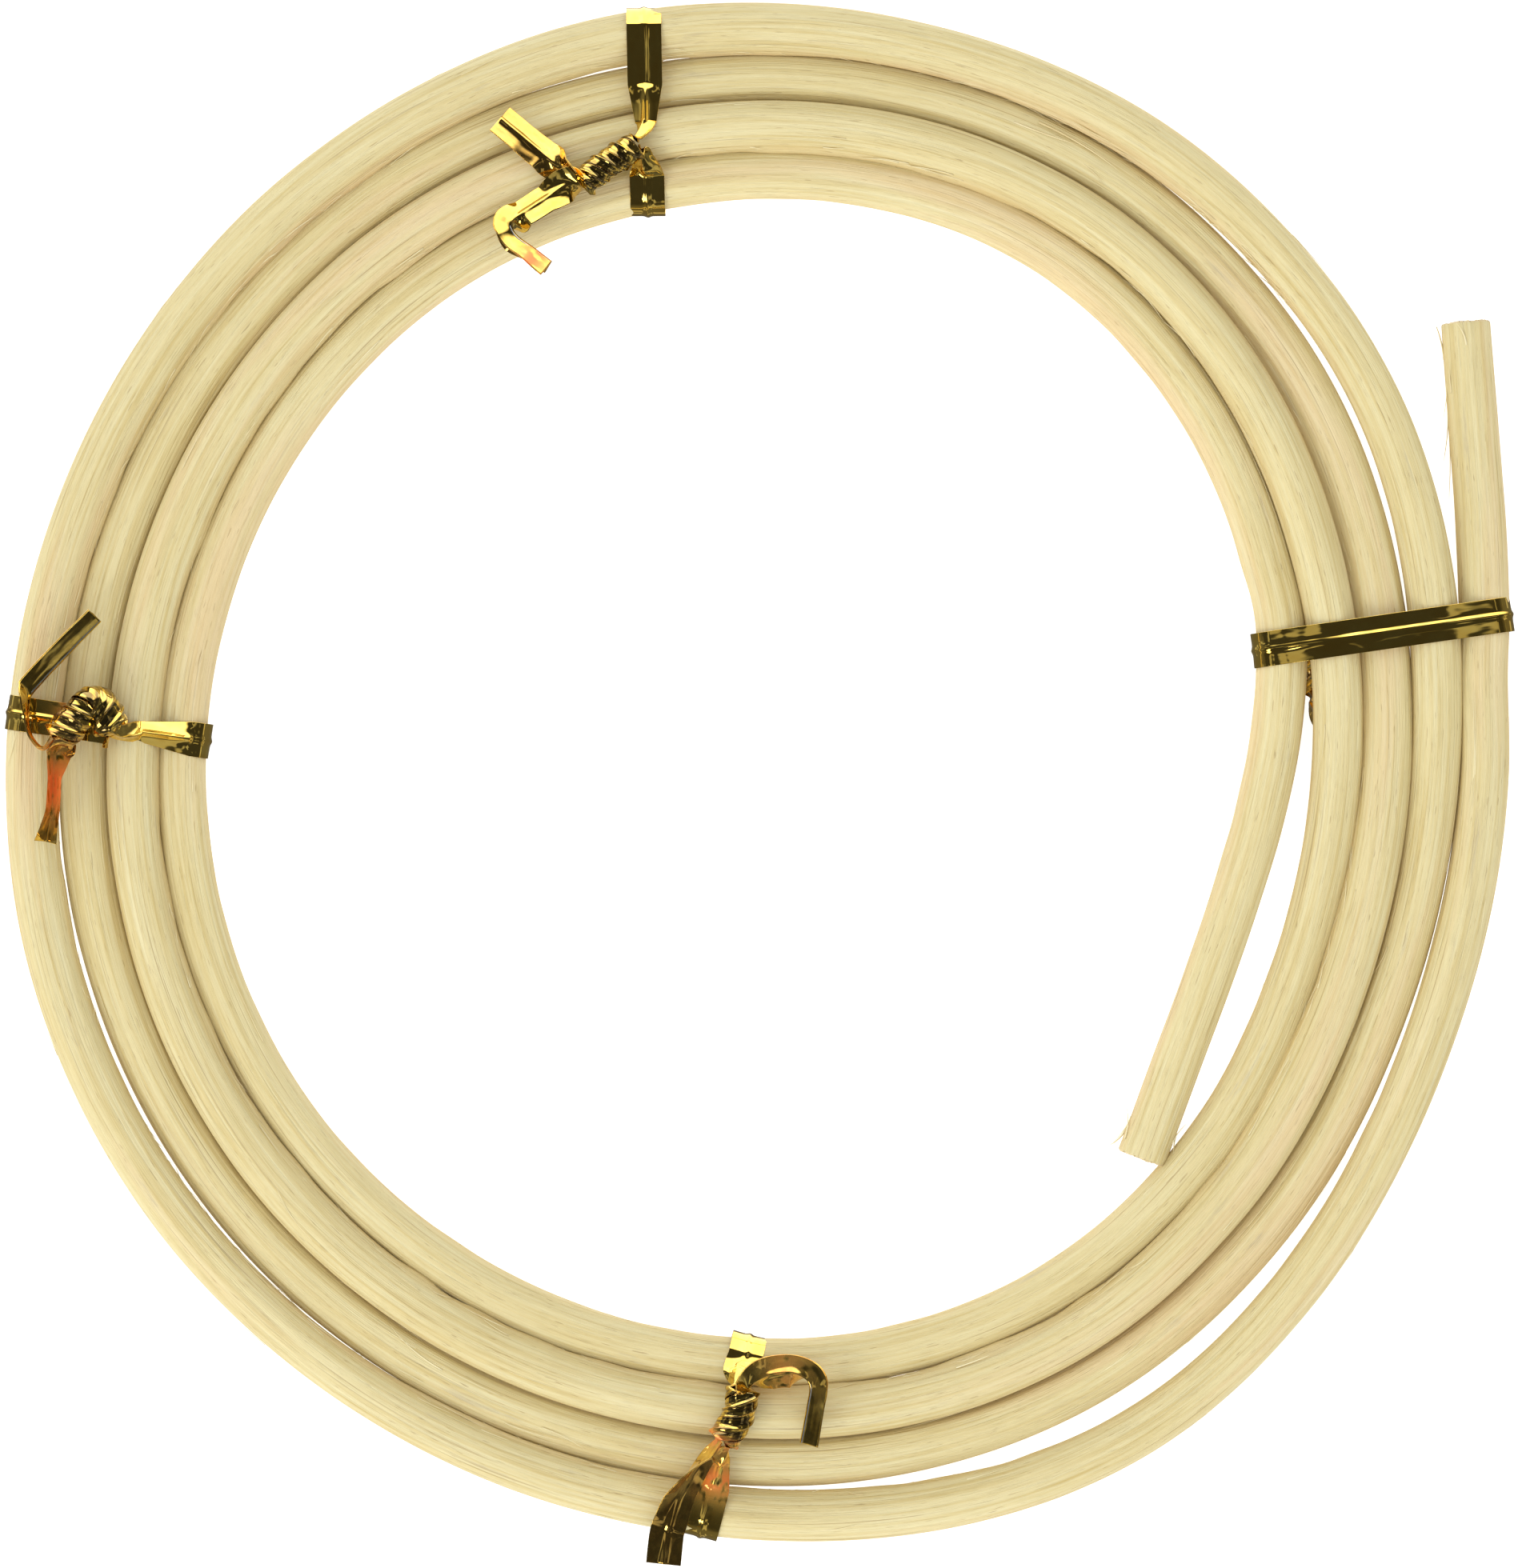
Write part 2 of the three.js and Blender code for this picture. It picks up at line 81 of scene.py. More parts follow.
RING_CENTRE = np.array([-0.2, 1.4, 0.0])

# ---- finer dimensions that only the looks have ----

ROD_WIDTH = 6.3             # the rod's own width, with its ragged skin
ROD_HEIGHT = 5.9
ROD_SQUARENESS = 2.25       # 2 is an ellipse, and more is squarer
ROD_SIDES = 60
ROD_STEP = 1.45             # between rings of the rod's skin
BAND_CLEARANCE = 0.3        # from the rod's skin to the middle of a tie
SLANT_ROOM = 0.3            # share of the room that a band wants where the rod crosses it at a slant
STRAND_OFFSET = 0.45        # from a twist's axis to each strand, pulled tight
FOIL_STEP = 0.23
FOIL_THICKNESS = 0.07
FOIL_GAP = 0.03             # from a tie's middle to a film's inner skin, at its edges
WIRE_RADIUS = 0.2
WIRE_CLEARANCE = 0.02       # inside the films
WIRE_SIDES = 8
RIDGE_WIDTH = 0.38          # of the films' ridge over the wire
RIDGE_CLEARANCE = 0.03
PINCH = 0.28                # share of its width that a tie shows where it goes into a twist
STEEPEST_FOLD = 36          # degrees that its halves fold by there; the rest of the share is gathering

ROD_SEED = 11
FIBRE_SEED = 29
FIRST_TIE_SEED = 3

# ---- the reed's route ----

RING_RADII = [
    75.0, 77.0, 80.1, 82.5, 82.6, 81.9, 81.3, 80.1, 78.9,
    78.4, 78.3, 78.4, 78.4, 78.6, 79.1, 78.7, 76.6, 74.7,
]

# Where along the rod in degrees, how far the bulge spreads, and how far it stands out.
BULGES = [
    (70, 20, 0.3), (328, 12, 0.3), (748, 13, 0.7), (794, 15, -0.2), (1108, 13, 1.5),
    (1152, 13, -0.5), (1181, 7, 0.3), (1217, 14, -0.3), (1277, 15, 0.6), (1380, 17, 2.3),
]
INNER_END = [[49.9, -50.3], [54.4, -38.1], [58.4, -27.2], [62.0, -16.6], [65.2, -5.7], [67.4, 5.9]]
OUTER_END = [[94.2, 20.4], [93.8, 32.0], [93.0, 43.0], [91.9, 58.0]]
FIRST_COILED = 15           # degrees along the rod, where the coil starts
LAST_COILED = 1447.5
LIFT_DEGREES = 10           # past the start of each turn, where the twist under the rod lifts it most
FINE_STEPS = 24             # on a curve between two points of a route, before it is spaced evenly


def unit(vector):
    return vector / np.linalg.norm(vector)


def eased(share):
    return share * share * (3 - 2 * share)


def catmull_rom(before, start, end, after, t):
    slope_start = (end - before) / 2
    slope_end = (after - start) / 2
    quadratic = 3 * (end - start) - 2 * slope_start - slope_end
    cubic = 2 * (start - end) + slope_start + slope_end
    return start + slope_start * t + quadratic * t * t + cubic * t ** 3


def ring_radius(degrees):
    count = len(RING_RADII)
    place = (degrees % 360) * count / 360
    knot = math.floor(place)
    near = [RING_RADII[(knot + step) % count] for step in (-1, 0, 1, 2)]
    return catmull_rom(*near, place - knot)


def bell(distance, spread):
    return math.exp(-0.5 * (distance / spread) ** 2)


def coil_radius(degrees):
    even = ring_radius(degrees) + TURN_PITCH * (degrees / 360 - 1)
    return even + sum(rise * bell(degrees - at, spread) for at, spread, rise in BULGES)


def coil_height(degrees):
    turn = round(degrees / 360)
    high = abs(turn) % 2
    change = eased(min(max((degrees - 360 * turn + RISE_SPAN) / (2 * RISE_SPAN), 0), 1))
    before = 0 if turn <= 0 else 1 - high
    after = 0 if turn <= 0 else high
    lift = KNOT_LIFT * bell(degrees - 360 * turn - LIFT_DEGREES, KNOT_LIFT_SPREAD)
    return LOW_TURN_Z + HIGH_TURN_RISE * (before + (after - before) * change) + lift


def free_end(points, turn):
    placed = []
    for x, y in points:
        degrees = math.degrees(math.atan2(y, x)) + 360 * turn
        placed.append(np.array([x, y, coil_height(degrees)]) + RING_CENTRE)
    return placed


def reed_route():
    coiled = []
    for step in range(int((LAST_COILED - FIRST_COILED) / REED_STEP) + 1):
        degrees = FIRST_COILED + step * REED_STEP
        angle = math.radians(degrees)
        radius = coil_radius(degrees)
        point = np.array([radius * math.cos(angle), radius * math.sin(angle), coil_height(degrees)])
        coiled.append(point + RING_CENTRE)
    return np.array(free_end(INNER_END, 0) + coiled + free_end(OUTER_END, 4))


def smooth_rows(rows, steps):
    """Rows of numbers, with steps - 1 more between each two, on a curve through all of them."""
    padded = np.vstack([2 * rows[0] - rows[1], rows, 2 * rows[-1] - rows[-2]])
    parts = np.arange(steps)[:, None] / steps
    spans = [catmull_rom(*padded[place:place + 4], parts) for place in range(len(rows) - 1)]
    return np.vstack(spans + [rows[-1:]])


def distances(points):
    return np.concatenate([[0], np.cumsum(np.linalg.norm(np.diff(points[:, :3], axis=0), axis=1))])


def evenly(rows, step):
    """The same rows, spaced evenly along their first three columns."""
    fine = smooth_rows(rows, FINE_STEPS)
    along = distances(fine)
    places = np.linspace(0, along[-1], max(int(along[-1] / step), 2) + 1)
    return np.stack([np.interp(places, along, column) for column in fine.T], 1), places


def travels(points):
    change = np.gradient(points, axis=0)
    return change / np.linalg.norm(change, axis=1)[:, None]


# ---- meshes ----

def new_object(name, data):
    made = bpy.data.objects.new(name, data)
    bpy.context.scene.collection.objects.link(made)
    return made


def new_piece(name, points, faces, materials, replaced=()):
    mesh = bpy.data.meshes.new(name)
    mesh.from_pydata([tuple(point) for point in np.asarray(points) * MM], [], faces)
    mesh.update()
    piece = new_object(name, mesh)
    for material in materials:
        mesh.materials.append(material)
    mesh.polygons.foreach_set("use_smooth", [True] * len(mesh.polygons))
    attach(piece, "root")
    if replaced:
        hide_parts(*replaced)
    return piece


def skin_faces(rings, sides, first=0):
    """The quads of a closed tube, rings of equal length one after another."""
    faces = []
    for ring in range(rings - 1):
        for side in range(sides):
            a = first + ring * sides + side
            b = first + ring * sides + (side + 1) % sides
            faces.append((a, b, b + sides, a + sides))
    return faces


def closed_tube(rings, sides, first=0):
    """The same quads, and the tube's two flat ends."""
    last = first + sides * (rings - 1)
    ends = [tuple(range(first, first + sides))[::-1], tuple(range(last, last + sides))]
    return skin_faces(rings, sides, first) + ends


def round_spokes(sides, one, other):
    """The angles round a tube, their cosines and sines, and a spoke for each ring and angle."""
    angles = np.arange(sides) * 2 * math.pi / sides
    cos, sin = np.cos(angles), np.sin(angles)
    return angles, cos, sin, cos[None, :, None] * one[:, None, :] + sin[None, :, None] * other[:, None, :]


def value_noise(rng, rings, sides, ring_cells, side_cells):
    """Smooth noise on a tube: ring_cells bumps along it, and side_cells round it with no seam."""
    grid = rng.standard_normal((ring_cells + 2, side_cells))
    along = np.linspace(0, ring_cells, rings)
    around = np.arange(sides) * side_cells / sides
    row, column = along.astype(int), around.astype(int)
    u, v = eased(along - row)[:, None], eased(around - column)[None, :]
    after = (column + 1) % side_cells
    low = grid[row][:, column] * (1 - v) + grid[row][:, after] * v
    high = grid[row + 1][:, column] * (1 - v) + grid[row + 1][:, after] * v
    return low * (1 - u) + high * u


def add_grain(piece, grain):
    """Where each point lies in the rod or strip before it was bent: along it, and across it twice."""
    attribute = piece.data.attributes.new("grain", "FLOAT_VECTOR", "POINT")
    attribute.data.foreach_set("vector", np.asarray(grain, dtype=np.float32).ravel())


def add_share(piece, name, values):
    attribute = piece.data.attributes.new(name, "FLOAT", "POINT")
    attribute.data.foreach_set("value", values.astype(np.float32))


# ---- materials ----

class Shader:
    """The nodes of a material or a world, made and joined in one call each."""

    def __init__(self, owner, surface="Principled BSDF"):
        self.owner = owner
        owner.use_nodes = True
        self.tree = owner.node_tree
        self.surface = self.tree.nodes[surface]

    def node(self, kind, inputs=None, **settings):
        made = self.tree.nodes.new(kind)
        for key, value in settings.items():
            setattr(made, key, value)
        for key, value in (inputs or {}).items():
            self.put(made.inputs[key], value)
        return made

    def put(self, socket, value):
        if isinstance(value, bpy.types.NodeSocket):
            self.tree.links.new(value, socket)
        else:
            socket.default_value = (*value, 1) if socket.type == "RGBA" else value

    def stretched(self, source, scale):
        return self.node("ShaderNodeMapping", {"Vector": source, "Scale": scale}).outputs["Vector"]

    def noise(self, vector, stretch=None, scale=1.0, detail=3.0, roughness=0.55):
        if stretch:
            vector = self.stretched(vector, stretch)
        inputs = {"Vector": vector, "Scale": scale, "Detail": detail, "Roughness": roughness}
        return self.node("ShaderNodeTexNoise", inputs).outputs["Fac"]

    def ramp(self, factor, stops):
        made = self.node("ShaderNodeValToRGB", {"Fac": factor})
        elements = made.color_ramp.elements
        while len(elements) < len(stops):
            elements.new(0.5)
        for element, (position, colour) in zip(elements, stops):
            element.position = position
            element.color = (*colour, 1)
        return made.outputs["Color"]

    def level(self, factor, low, high, start=0.0, end=1.0):
        """Goes smoothly from start to end, as factor goes from low to high."""
        inputs = {"Value": factor, "From Min": low, "From Max": high, "To Min": start, "To Max": end}
        return self.node("ShaderNodeMapRange", inputs, interpolation_type="SMOOTHSTEP").outputs["Result"]

    def mix(self, factor, first, second):
        return self.node("ShaderNodeMix", {0: factor, 6: first, 7: second}, data_type="RGBA").outputs[2]

    def tint(self, colour, other, most, factor, low, high):
        """Mixes in up to a share most of another colour, as factor goes from low to high."""
        return self.mix(self.math("MULTIPLY", self.level(factor, low, high), most), colour, other)

    def math(self, operation, first, second):
        return self.node("ShaderNodeMath", {0: first, 1: second}, operation=operation).outputs[0]

    def bump(self, height, distance, strength, under=None):
        inputs = {"Height": height, "Distance": distance, "Strength": strength}
        if under is not None:
            inputs["Normal"] = under
        return self.node("ShaderNodeBump", inputs).outputs["Normal"]

    def attribute(self, name, output="Vector"):
        return self.node("ShaderNodeAttribute", attribute_name=name).outputs[output]

    def finish(self, inputs):
        """Sets the surface's sockets by name, and gives the material or the world back."""
        for name, value in inputs.items():
            self.put(self.surface.inputs[name], value)
        return self.owner


STRAW_LIGHT = (0.77, 0.70, 0.42)
STRAW = (0.71, 0.61, 0.32)
STRAW_DEEP = (0.60, 0.47, 0.19)
STREAK_BROWN = (0.34, 0.22, 0.09)
SMUDGE_GREY = (0.44, 0.38, 0.28)
TINT_PINK = (0.78, 0.55, 0.33)
# Painted shade: a warm tan mixed into the reed low on each rod's sides, where shade falls between the turns.
PAINTED_FLANK_SHADE = (0.76, 0.56, 0.26)      # low on the rod's sides
REED_SPECULAR = 0.35


def reed_material():
    shader = Shader(bpy.data.materials.new("reed"))
    grain = shader.attribute("grain")
    fibres = shader.noise(grain, (0.035, 1.6, 1.6), detail=5.0, roughness=0.65)
    colour = shader.ramp(fibres, [(0.26, STRAW_DEEP), (0.48, STRAW), (0.70, STRAW_LIGHT)])
    height = shader.node("ShaderNodeSeparateXYZ", {"Vector": grain}).outputs["Z"]
    patchy = shader.noise(grain, (0.05, 0.3, 0.3), detail=3.0)
    # Painted shade: tan mixed in where the rod's skin is lower, broken up by patchy noise.
    painted_flank = shader.math("SUBTRACT", shader.math("MULTIPLY", patchy, 2.0), height)
    colour = shader.tint(colour, PAINTED_FLANK_SHADE, 0.36, painted_flank, -1.2, 0.9)
    blotches = shader.noise(grain, (0.012, 0.16, 0.16), detail=3.0)
    colour = shader.tint(colour, TINT_PINK, 0.35, blotches, 0.52, 0.72)
    smudges = shader.noise(grain, (0.06, 0.45, 0.45), detail=4.0, roughness=0.7)
    colour = shader.tint(colour, SMUDGE_GREY, 0.45, smudges, 0.60, 0.78)
    lines = shader.noise(grain, (0.02, 3.2, 3.2), detail=2.0)
    colour = shader.tint(colour, STREAK_BROWN, 0.55, lines, 0.64, 0.74)
    ticks = shader.noise(grain, (0.35, 5.0, 5.0), detail=1.0)
    colour = shader.tint(colour, STREAK_BROWN, 0.5, ticks, 0.68, 0.76)
    roughness = shader.math("ADD", shader.math("MULTIPLY", fibres, 0.25), 0.5)
    threads = shader.noise(grain, (0.05, 6.0, 6.0), detail=3.0)
    coarse = shader.bump(fibres, 0.00035, 0.9)
    return shader.finish({
        "Base Color": colour,
        "Roughness": roughness,
        "Specular IOR Level": REED_SPECULAR,
        "Normal": shader.bump(threads, 0.00012, 0.8, coarse),
    })


FIBRE_PALE = (0.86, 0.79, 0.52)
FIBRE_STRAW = (0.72, 0.60, 0.32)
PITH_DEEP = (0.60, 0.47, 0.25)
PITH_LIGHT = (0.74, 0.62, 0.38)
PORE_BROWN = (0.20, 0.13, 0.06)


def fibre_material():
    shader = Shader(bpy.data.materials.new("reed_fibre"))
    grain = shader.attribute("grain")
    tone = shader.noise(grain, (0.06, 0.5, 0.5), detail=2.0)
    colour = shader.ramp(tone, [(0.35, FIBRE_STRAW), (0.6, FIBRE_PALE)])
    return shader.finish({"Base Color": colour, "Roughness": 0.7, "Specular IOR Level": REED_SPECULAR})


def cut_end_material():
    shader = Shader(bpy.data.materials.new("reed_cut_end"))
    grain = shader.attribute("grain")
    across = shader.stretched(grain, (0.0, 1.0, 1.0))
    pores = shader.node("ShaderNodeTexVoronoi", {"Vector": across, "Scale": 3.2}, feature="F1")
    holes = shader.level(pores.outputs["Distance"], 0.10, 0.24)
    tone = shader.noise(across, scale=0.8, detail=3.0)
    pith = shader.ramp(tone, [(0.35, PITH_DEEP), (0.65, PITH_LIGHT)])
    colour = shader.mix(holes, PORE_BROWN, pith)
    return shader.finish({"Base Color": colour, "Roughness": 0.85, "Normal": shader.bump(holes, 0.0002, 0.8)})


# Painted reflection: the red that folded foil is mixed towards where it reflects itself.
PAINTED_REFLECTION_RED = (0.88, 0.25, 0.06)
# Painted shade: the dark colour that the foil is mixed towards in its twists.
PAINTED_SHADE_COLOUR = (0.13, 0.10, 0.06)
STEEL_DARK = (0.42, 0.42, 0.41)
STEEL_LIGHT = (0.66, 0.66, 0.65)


def foil_material(name, bright, deep, roughness):
    """Thin metal film, with a painted red reflection and a painted dark shade where the strip is folded so
    that it reflects itself.
    """
    shader = Shader(bpy.data.materials.new(name))
    place = shader.attribute("grain")
    tone = shader.noise(place, (0.25, 0.5, 0.5), detail=2.0)
    colour = shader.ramp(tone, [(0.35, deep), (0.65, bright)])
    # Painted shade: dark colour mixed in, in patches, where the strip is crumpled in a twist.
    painted_shade = shader.attribute("painted_shade", "Fac")
    facets = shader.level(shader.noise(place, (0.9, 1.2, 1.2), detail=2.0), 0.66, 0.40)
    colour = shader.mix(shader.math("MULTIPLY", painted_shade, facets), colour, PAINTED_SHADE_COLOUR)
    # Painted reflection: red mixed in, in patches, at the listed spots, and the film made less metallic
    # there.
    painted_reflection = shader.attribute("painted_reflection", "Fac")
    patches = shader.level(shader.noise(place, (0.5, 0.9, 0.9), detail=1.0), 0.32, 0.50)
    red = shader.math("MULTIPLY", painted_reflection, patches)
    scuffs = shader.noise(place, (0.8, 2.0, 2.0), detail=3.0, roughness=0.6)
    matt = shader.math("MULTIPLY", shader.level(scuffs, 0.55, 0.85), 0.08)
    waves = shader.noise(place, (0.25, 0.7, 0.7), detail=1.0)
    return shader.finish({
        "Base Color": shader.mix(red, colour, PAINTED_REFLECTION_RED),
        "Metallic": shader.math("ADD", shader.math("MULTIPLY", red, -0.65), 1.0),
        "Roughness": shader.math("ADD", matt, roughness),
        "Normal": shader.bump(waves, 0.00010, 0.5),
    })


def wire_material():
    shader = Shader(bpy.data.materials.new("tie_wire"))
    place = shader.attribute("grain")
    drawn = shader.noise(place, (0.4, 9.0, 9.0), detail=3.0)
    colour = shader.ramp(drawn, [(0.3, STEEL_DARK), (0.7, STEEL_LIGHT)])
    roughness = shader.math("ADD", shader.math("MULTIPLY", drawn, 0.2), 0.25)
    return shader.finish({"Base Color": colour, "Metallic": 1.0, "Roughness": roughness})


# ---- the rod ----

ROD_DEGREES = (-45.2, 1472.0)   # along the rod, at its two ends
ROD_TILT = 0.35                 # radians that its rounded outline turns by
TILTS = 40                      # along the rod
# Bumps on its skin: how high they are, and how many there are along the rod and round it.
SKIN_BUMPS = [(0.050, 60, 6), (0.045, 75, 16), (0.030, 160, 30)]
GROOVE_DEPTH = 0.16
GROOVES = (48, 20)              # dips and bumps along the rod and round it
GROOVE_EDGE = 1.35              # only dips deeper than this are grooves
# Ragged skin that stands out on its inner side: from and to in degrees along the rod, and how far.
RAGGED_LENGTHS = [
    (-60, 360, 0.10), (360, 700, 0.52), (700, 1075, 0.10), (1120, 1258, 0.36), (1297, 1350, 0.42),
    (1350, 1480, 0.10),
]
RAGGED_FADE = 4                 # degrees along the rod, in which a ragged length starts and ends
RAGGED_ANGLE = math.pi + 0.1    # round the rod, from its outer side over its top
RAGGED_SPREAD = 0.34
TEARS = 500                     # along the rod
# Rings of a cut end, from its edge in: share of the rod's radius, and how far it stands out.
CUT_END_RINGS = [(0.955, 0.16), (0.82, 0.2), (0.6, 0.12), (0.3, 0.2)]
CUT_END_MIDDLE = 0.12
CUT_END_ROUGHNESS = 0.07


def rod_radius(angles, tilt):
    """How far the rod's rounded outline is from its middle, at each angle."""
    width, height = ROD_WIDTH / 2, ROD_HEIGHT / 2
    cos, sin = np.abs(np.cos(angles - tilt)), np.abs(np.sin(angles - tilt))
    return ((cos / width) ** ROD_SQUARENESS + (sin / height) ** ROD_SQUARENESS) ** (-1 / ROD_SQUARENESS)


def rod_frame(line):
    travel = travels(line)
    outwards = np.cross(travel, UP)
    outwards /= np.linalg.norm(outwards, axis=1)[:, None]
    return travel, outwards, np.cross(outwards, travel)


def rod_radii(rng, rings, angles):
    """How far the rod's rough skin is from its middle, at each ring and angle."""
    tilt = ROD_TILT * value_noise(rng, rings, 1, TILTS, 1)
    radius = rod_radius(angles[None, :], tilt)
    for height, along_rod, round_rod in SKIN_BUMPS:
        radius += height * value_noise(rng, rings, ROD_SIDES, along_rod, round_rod)
    grooves = value_noise(rng, rings, ROD_SIDES, *GROOVES)
    radius -= GROOVE_DEPTH * np.clip(grooves - GROOVE_EDGE, 0, 1)
    degrees = np.linspace(*ROD_DEGREES, rings)
    lip = sum(
        rise / (1 + np.exp((start - degrees) / RAGGED_FADE)) / (1 + np.exp((degrees - end) / RAGGED_FADE))
        for start, end, rise in RAGGED_LENGTHS
    )
    tears = 0.85 + 0.22 * value_noise(rng, rings, 1, TEARS, 1)
    inner_side = np.exp(-((angles - RAGGED_ANGLE) / RAGGED_SPREAD) ** 2)
    return radius + lip[:, None] * tears * inner_side[None, :]


def cut_end(rng, middle, travel, skin, grain, edge, count, way):
    """What closes an end: points, grain and faces. Its skin's points start at edge, and new ones at count."""
    points, grains, faces = [], [], []
    for share, bulge in CUT_END_RINGS:
        rough = bulge + CUT_END_ROUGHNESS * rng.standard_normal((ROD_SIDES, 1))
        points.append(middle + share * (skin - middle) + way * rough * travel)
        grains.append(grain * (1, share, share))
        for side in range(ROD_SIDES):
            after = (side + 1) % ROD_SIDES
            faces.append((edge + side, edge + after, count + after, count + side)[::way])
        edge = count
        count += ROD_SIDES
    points.append((middle + way * CUT_END_MIDDLE * travel)[None, :])
    grains.append(grain.mean(0)[None, :])
    for side in range(ROD_SIDES):
        faces.append((edge + side, edge + (side + 1) % ROD_SIDES, count)[::way])
    return points, grains, faces


def make_rod(route):
    line, along = evenly(route, ROD_STEP)
    travel, outwards, upwards = rod_frame(line)
    rings = len(line)
    rng = np.random.default_rng(ROD_SEED)
    angles, cos, sin, spokes = round_spokes(ROD_SIDES, outwards, upwards)
    radius = rod_radii(rng, rings, angles)
    skin = line[:, None, :] + radius[:, :, None] * spokes
    grain = np.stack(np.broadcast_arrays(along[:, None], radius * cos, radius * sin), 2)
    points, grains = [skin.reshape(-1, 3)], [grain.reshape(-1, 3)]
    faces = skin_faces(rings, ROD_SIDES)
    ends = []
    for ring, way in ((0, -1), (rings - 1, 1)):
        count = sum(len(part) for part in points)
        new_points, new_grains, new_faces = cut_end(
            rng, line[ring], travel[ring], skin[ring], grain[ring], ring * ROD_SIDES, count, way,
        )
        points += new_points
        grains += new_grains
        ends += new_faces
    materials = [reed_material(), cut_end_material()]
    piece = new_piece("reed", np.vstack(points), faces + ends, materials, ["reed_rod"])
    add_grain(piece, np.vstack(grains))
    for polygon in piece.data.polygons[len(faces):]:
        polygon.material_index = 1
    return line, along


# Torn fibres that show: degrees along the rod, angle round it from its outer side over its top,
# length, width, how far the loose end lifts, how far it drifts sideways, and 1 or -1 for its way.
FIBRES = [
    (1158, 172, 13, 0.30, 0.9, 0.5, 1), (1167, 176, 9, 0.24, 0.6, -0.5, 1),
    (1092, 150, 10, 0.20, 0.5, 0.8, 1), (1226, 60, 7, 0.16, 0.3, -1.2, 1),
    (908, 110, 9, 0.22, 0.4, 1.2, -1), (918, 80, 6, 0.18, 0.3, -0.9, 1),
    (541, 165, 8, 0.28, 0.7, -0.8, 1), (548, 172, 12, 0.24, 0.5, 0.6, 1),
    (532, 168, 7, 0.22, 0.6, 0.5, -1), (528, 60, 8, 0.18, 0.3, 1.4, -1),
    (588, 178, 10, 0.26, 0.6, 0.7, -1), (630, 170, 9, 0.24, 0.5, 0.6, 1),
    (1008, 120, 8, 0.24, 0.8, -0.9, 1), (1015, 140, 5, 0.20, 0.5, 0.9, -1),
    (969, 100, 9, 0.18, 0.4, 1.1, 1), (725, 60, 12, 0.36, 0.5, 0.8, -1),
    (727, 85, 9, 0.30, 0.6, -0.7, -1), (722, 100, 7, 0.26, 0.4, 0.9, -1),
    (1320, 174, 10, 0.26, 0.6, 0.6, 1), (1306, 170, 7, 0.22, 0.5, -0.6, -1),
    (1335, 60, 8, 0.18, 0.3, 1.0, 1), (1465, 178, 7, 0.30, 1.0, 0.9, -1),
    (1467, 170, 5, 0.24, 1.3, -0.8, -1), (1463, 190, 9, 0.26, 0.8, 0.6, -1),
    (-44, 160, 4, 0.36, 1.0, 0.8, 1), (-43, 20, 3, 0.26, 0.7, -0.8, 1), (1469, 178, 6, 0.40, 1.1, 0.7, 1),
    (1466, 150, 4, 0.36, 0.8, -0.7, 1), (1470, 100, 3, 0.34, 0.6, 0.9, 1),
    (-43, 185, 3.5, 0.50, 1.6, 0.5, -1), (-42, 176, 4, 0.36, 1.2, -0.6, -1),
    (-42, 10, 3, 0.34, 0.8, 0.6, -1),
]
LOOSE_FIBRES = 160
RAGGED_FIBRES = 420         # short ones, along the inner side of the two high turns
HIGH_TURNS = ((350, 705), (1075, 1350))
FIRST_FIBRE_DEGREES = -45   # along the rod, as the fibres count it
LAST_FIBRE_DEGREES = 1472.0
FIBRE_RINGS = 9
FIBRE_SIDES = 4
FIBRE_CLEARANCE = 0.02
FIBRE_FLATNESS = 0.6


def fibre_jobs(rng):
    jobs = list(FIBRES)
    for _ in range(LOOSE_FIBRES):
        side = rng.choice([-1, 1])
        angle = 90 + side * rng.uniform(25, 88)
        jobs.append((
            rng.uniform(0, LAST_FIBRE_DEGREES), angle, rng.uniform(3, 14), rng.uniform(0.05, 0.16),
            rng.uniform(0.05, 0.5), rng.uniform(-0.6, 0.6), rng.choice([-1, 1]),
        ))
    for _ in range(RAGGED_FIBRES):
        first, last = HIGH_TURNS[int(rng.integers(2))]
        jobs.append((
            rng.uniform(first, last), rng.normal(174, 12), rng.uniform(1.5, 6), rng.uniform(0.10, 0.30),
            rng.uniform(0.15, 0.55), rng.uniform(-0.5, 0.5), rng.choice([-1, 1]),
        ))
    return jobs


def fibre_points(job, along, rod):
    """One strand that tapers towards its loose end: its points, ring by ring, and their grain."""
    degrees, angle, length, width, lift, drift, way = job
    start = (degrees - FIRST_FIBRE_DEGREES) / (LAST_FIBRE_DEGREES - FIRST_FIBRE_DEGREES) * along[-1]
    places = np.clip(start + way * np.linspace(0, length, FIBRE_RINGS), 0, along[-1])
    middle, out, upward, going = (
        np.stack([np.interp(places, along, column) for column in rows.T], 1) for rows in rod
    )
    share = np.linspace(0, 1, FIBRE_RINGS)
    radians = math.radians(angle) + drift * share ** 2 / 3
    cos, sin = np.cos(radians), np.sin(radians)
    spoke = cos[:, None] * out + sin[:, None] * upward
    radius = rod_radius(radians, 0) + FIBRE_CLEARANCE + lift * share ** 2
    core = middle + spoke * radius[:, None]
    half = (width / 2 * np.sqrt(np.clip(1.02 - share, 0, 1)))[:, None]
    sideways = np.cross(going, spoke) * half
    upright = spoke * half * FIBRE_FLATNESS
    points = np.stack([core + sideways, core + upright, core - sideways, core - upright], 1)
    grain = np.stack([places, radius * cos, radius * sin], 1)
    return points.reshape(-1, 3), np.repeat(grain, FIBRE_SIDES, 0)


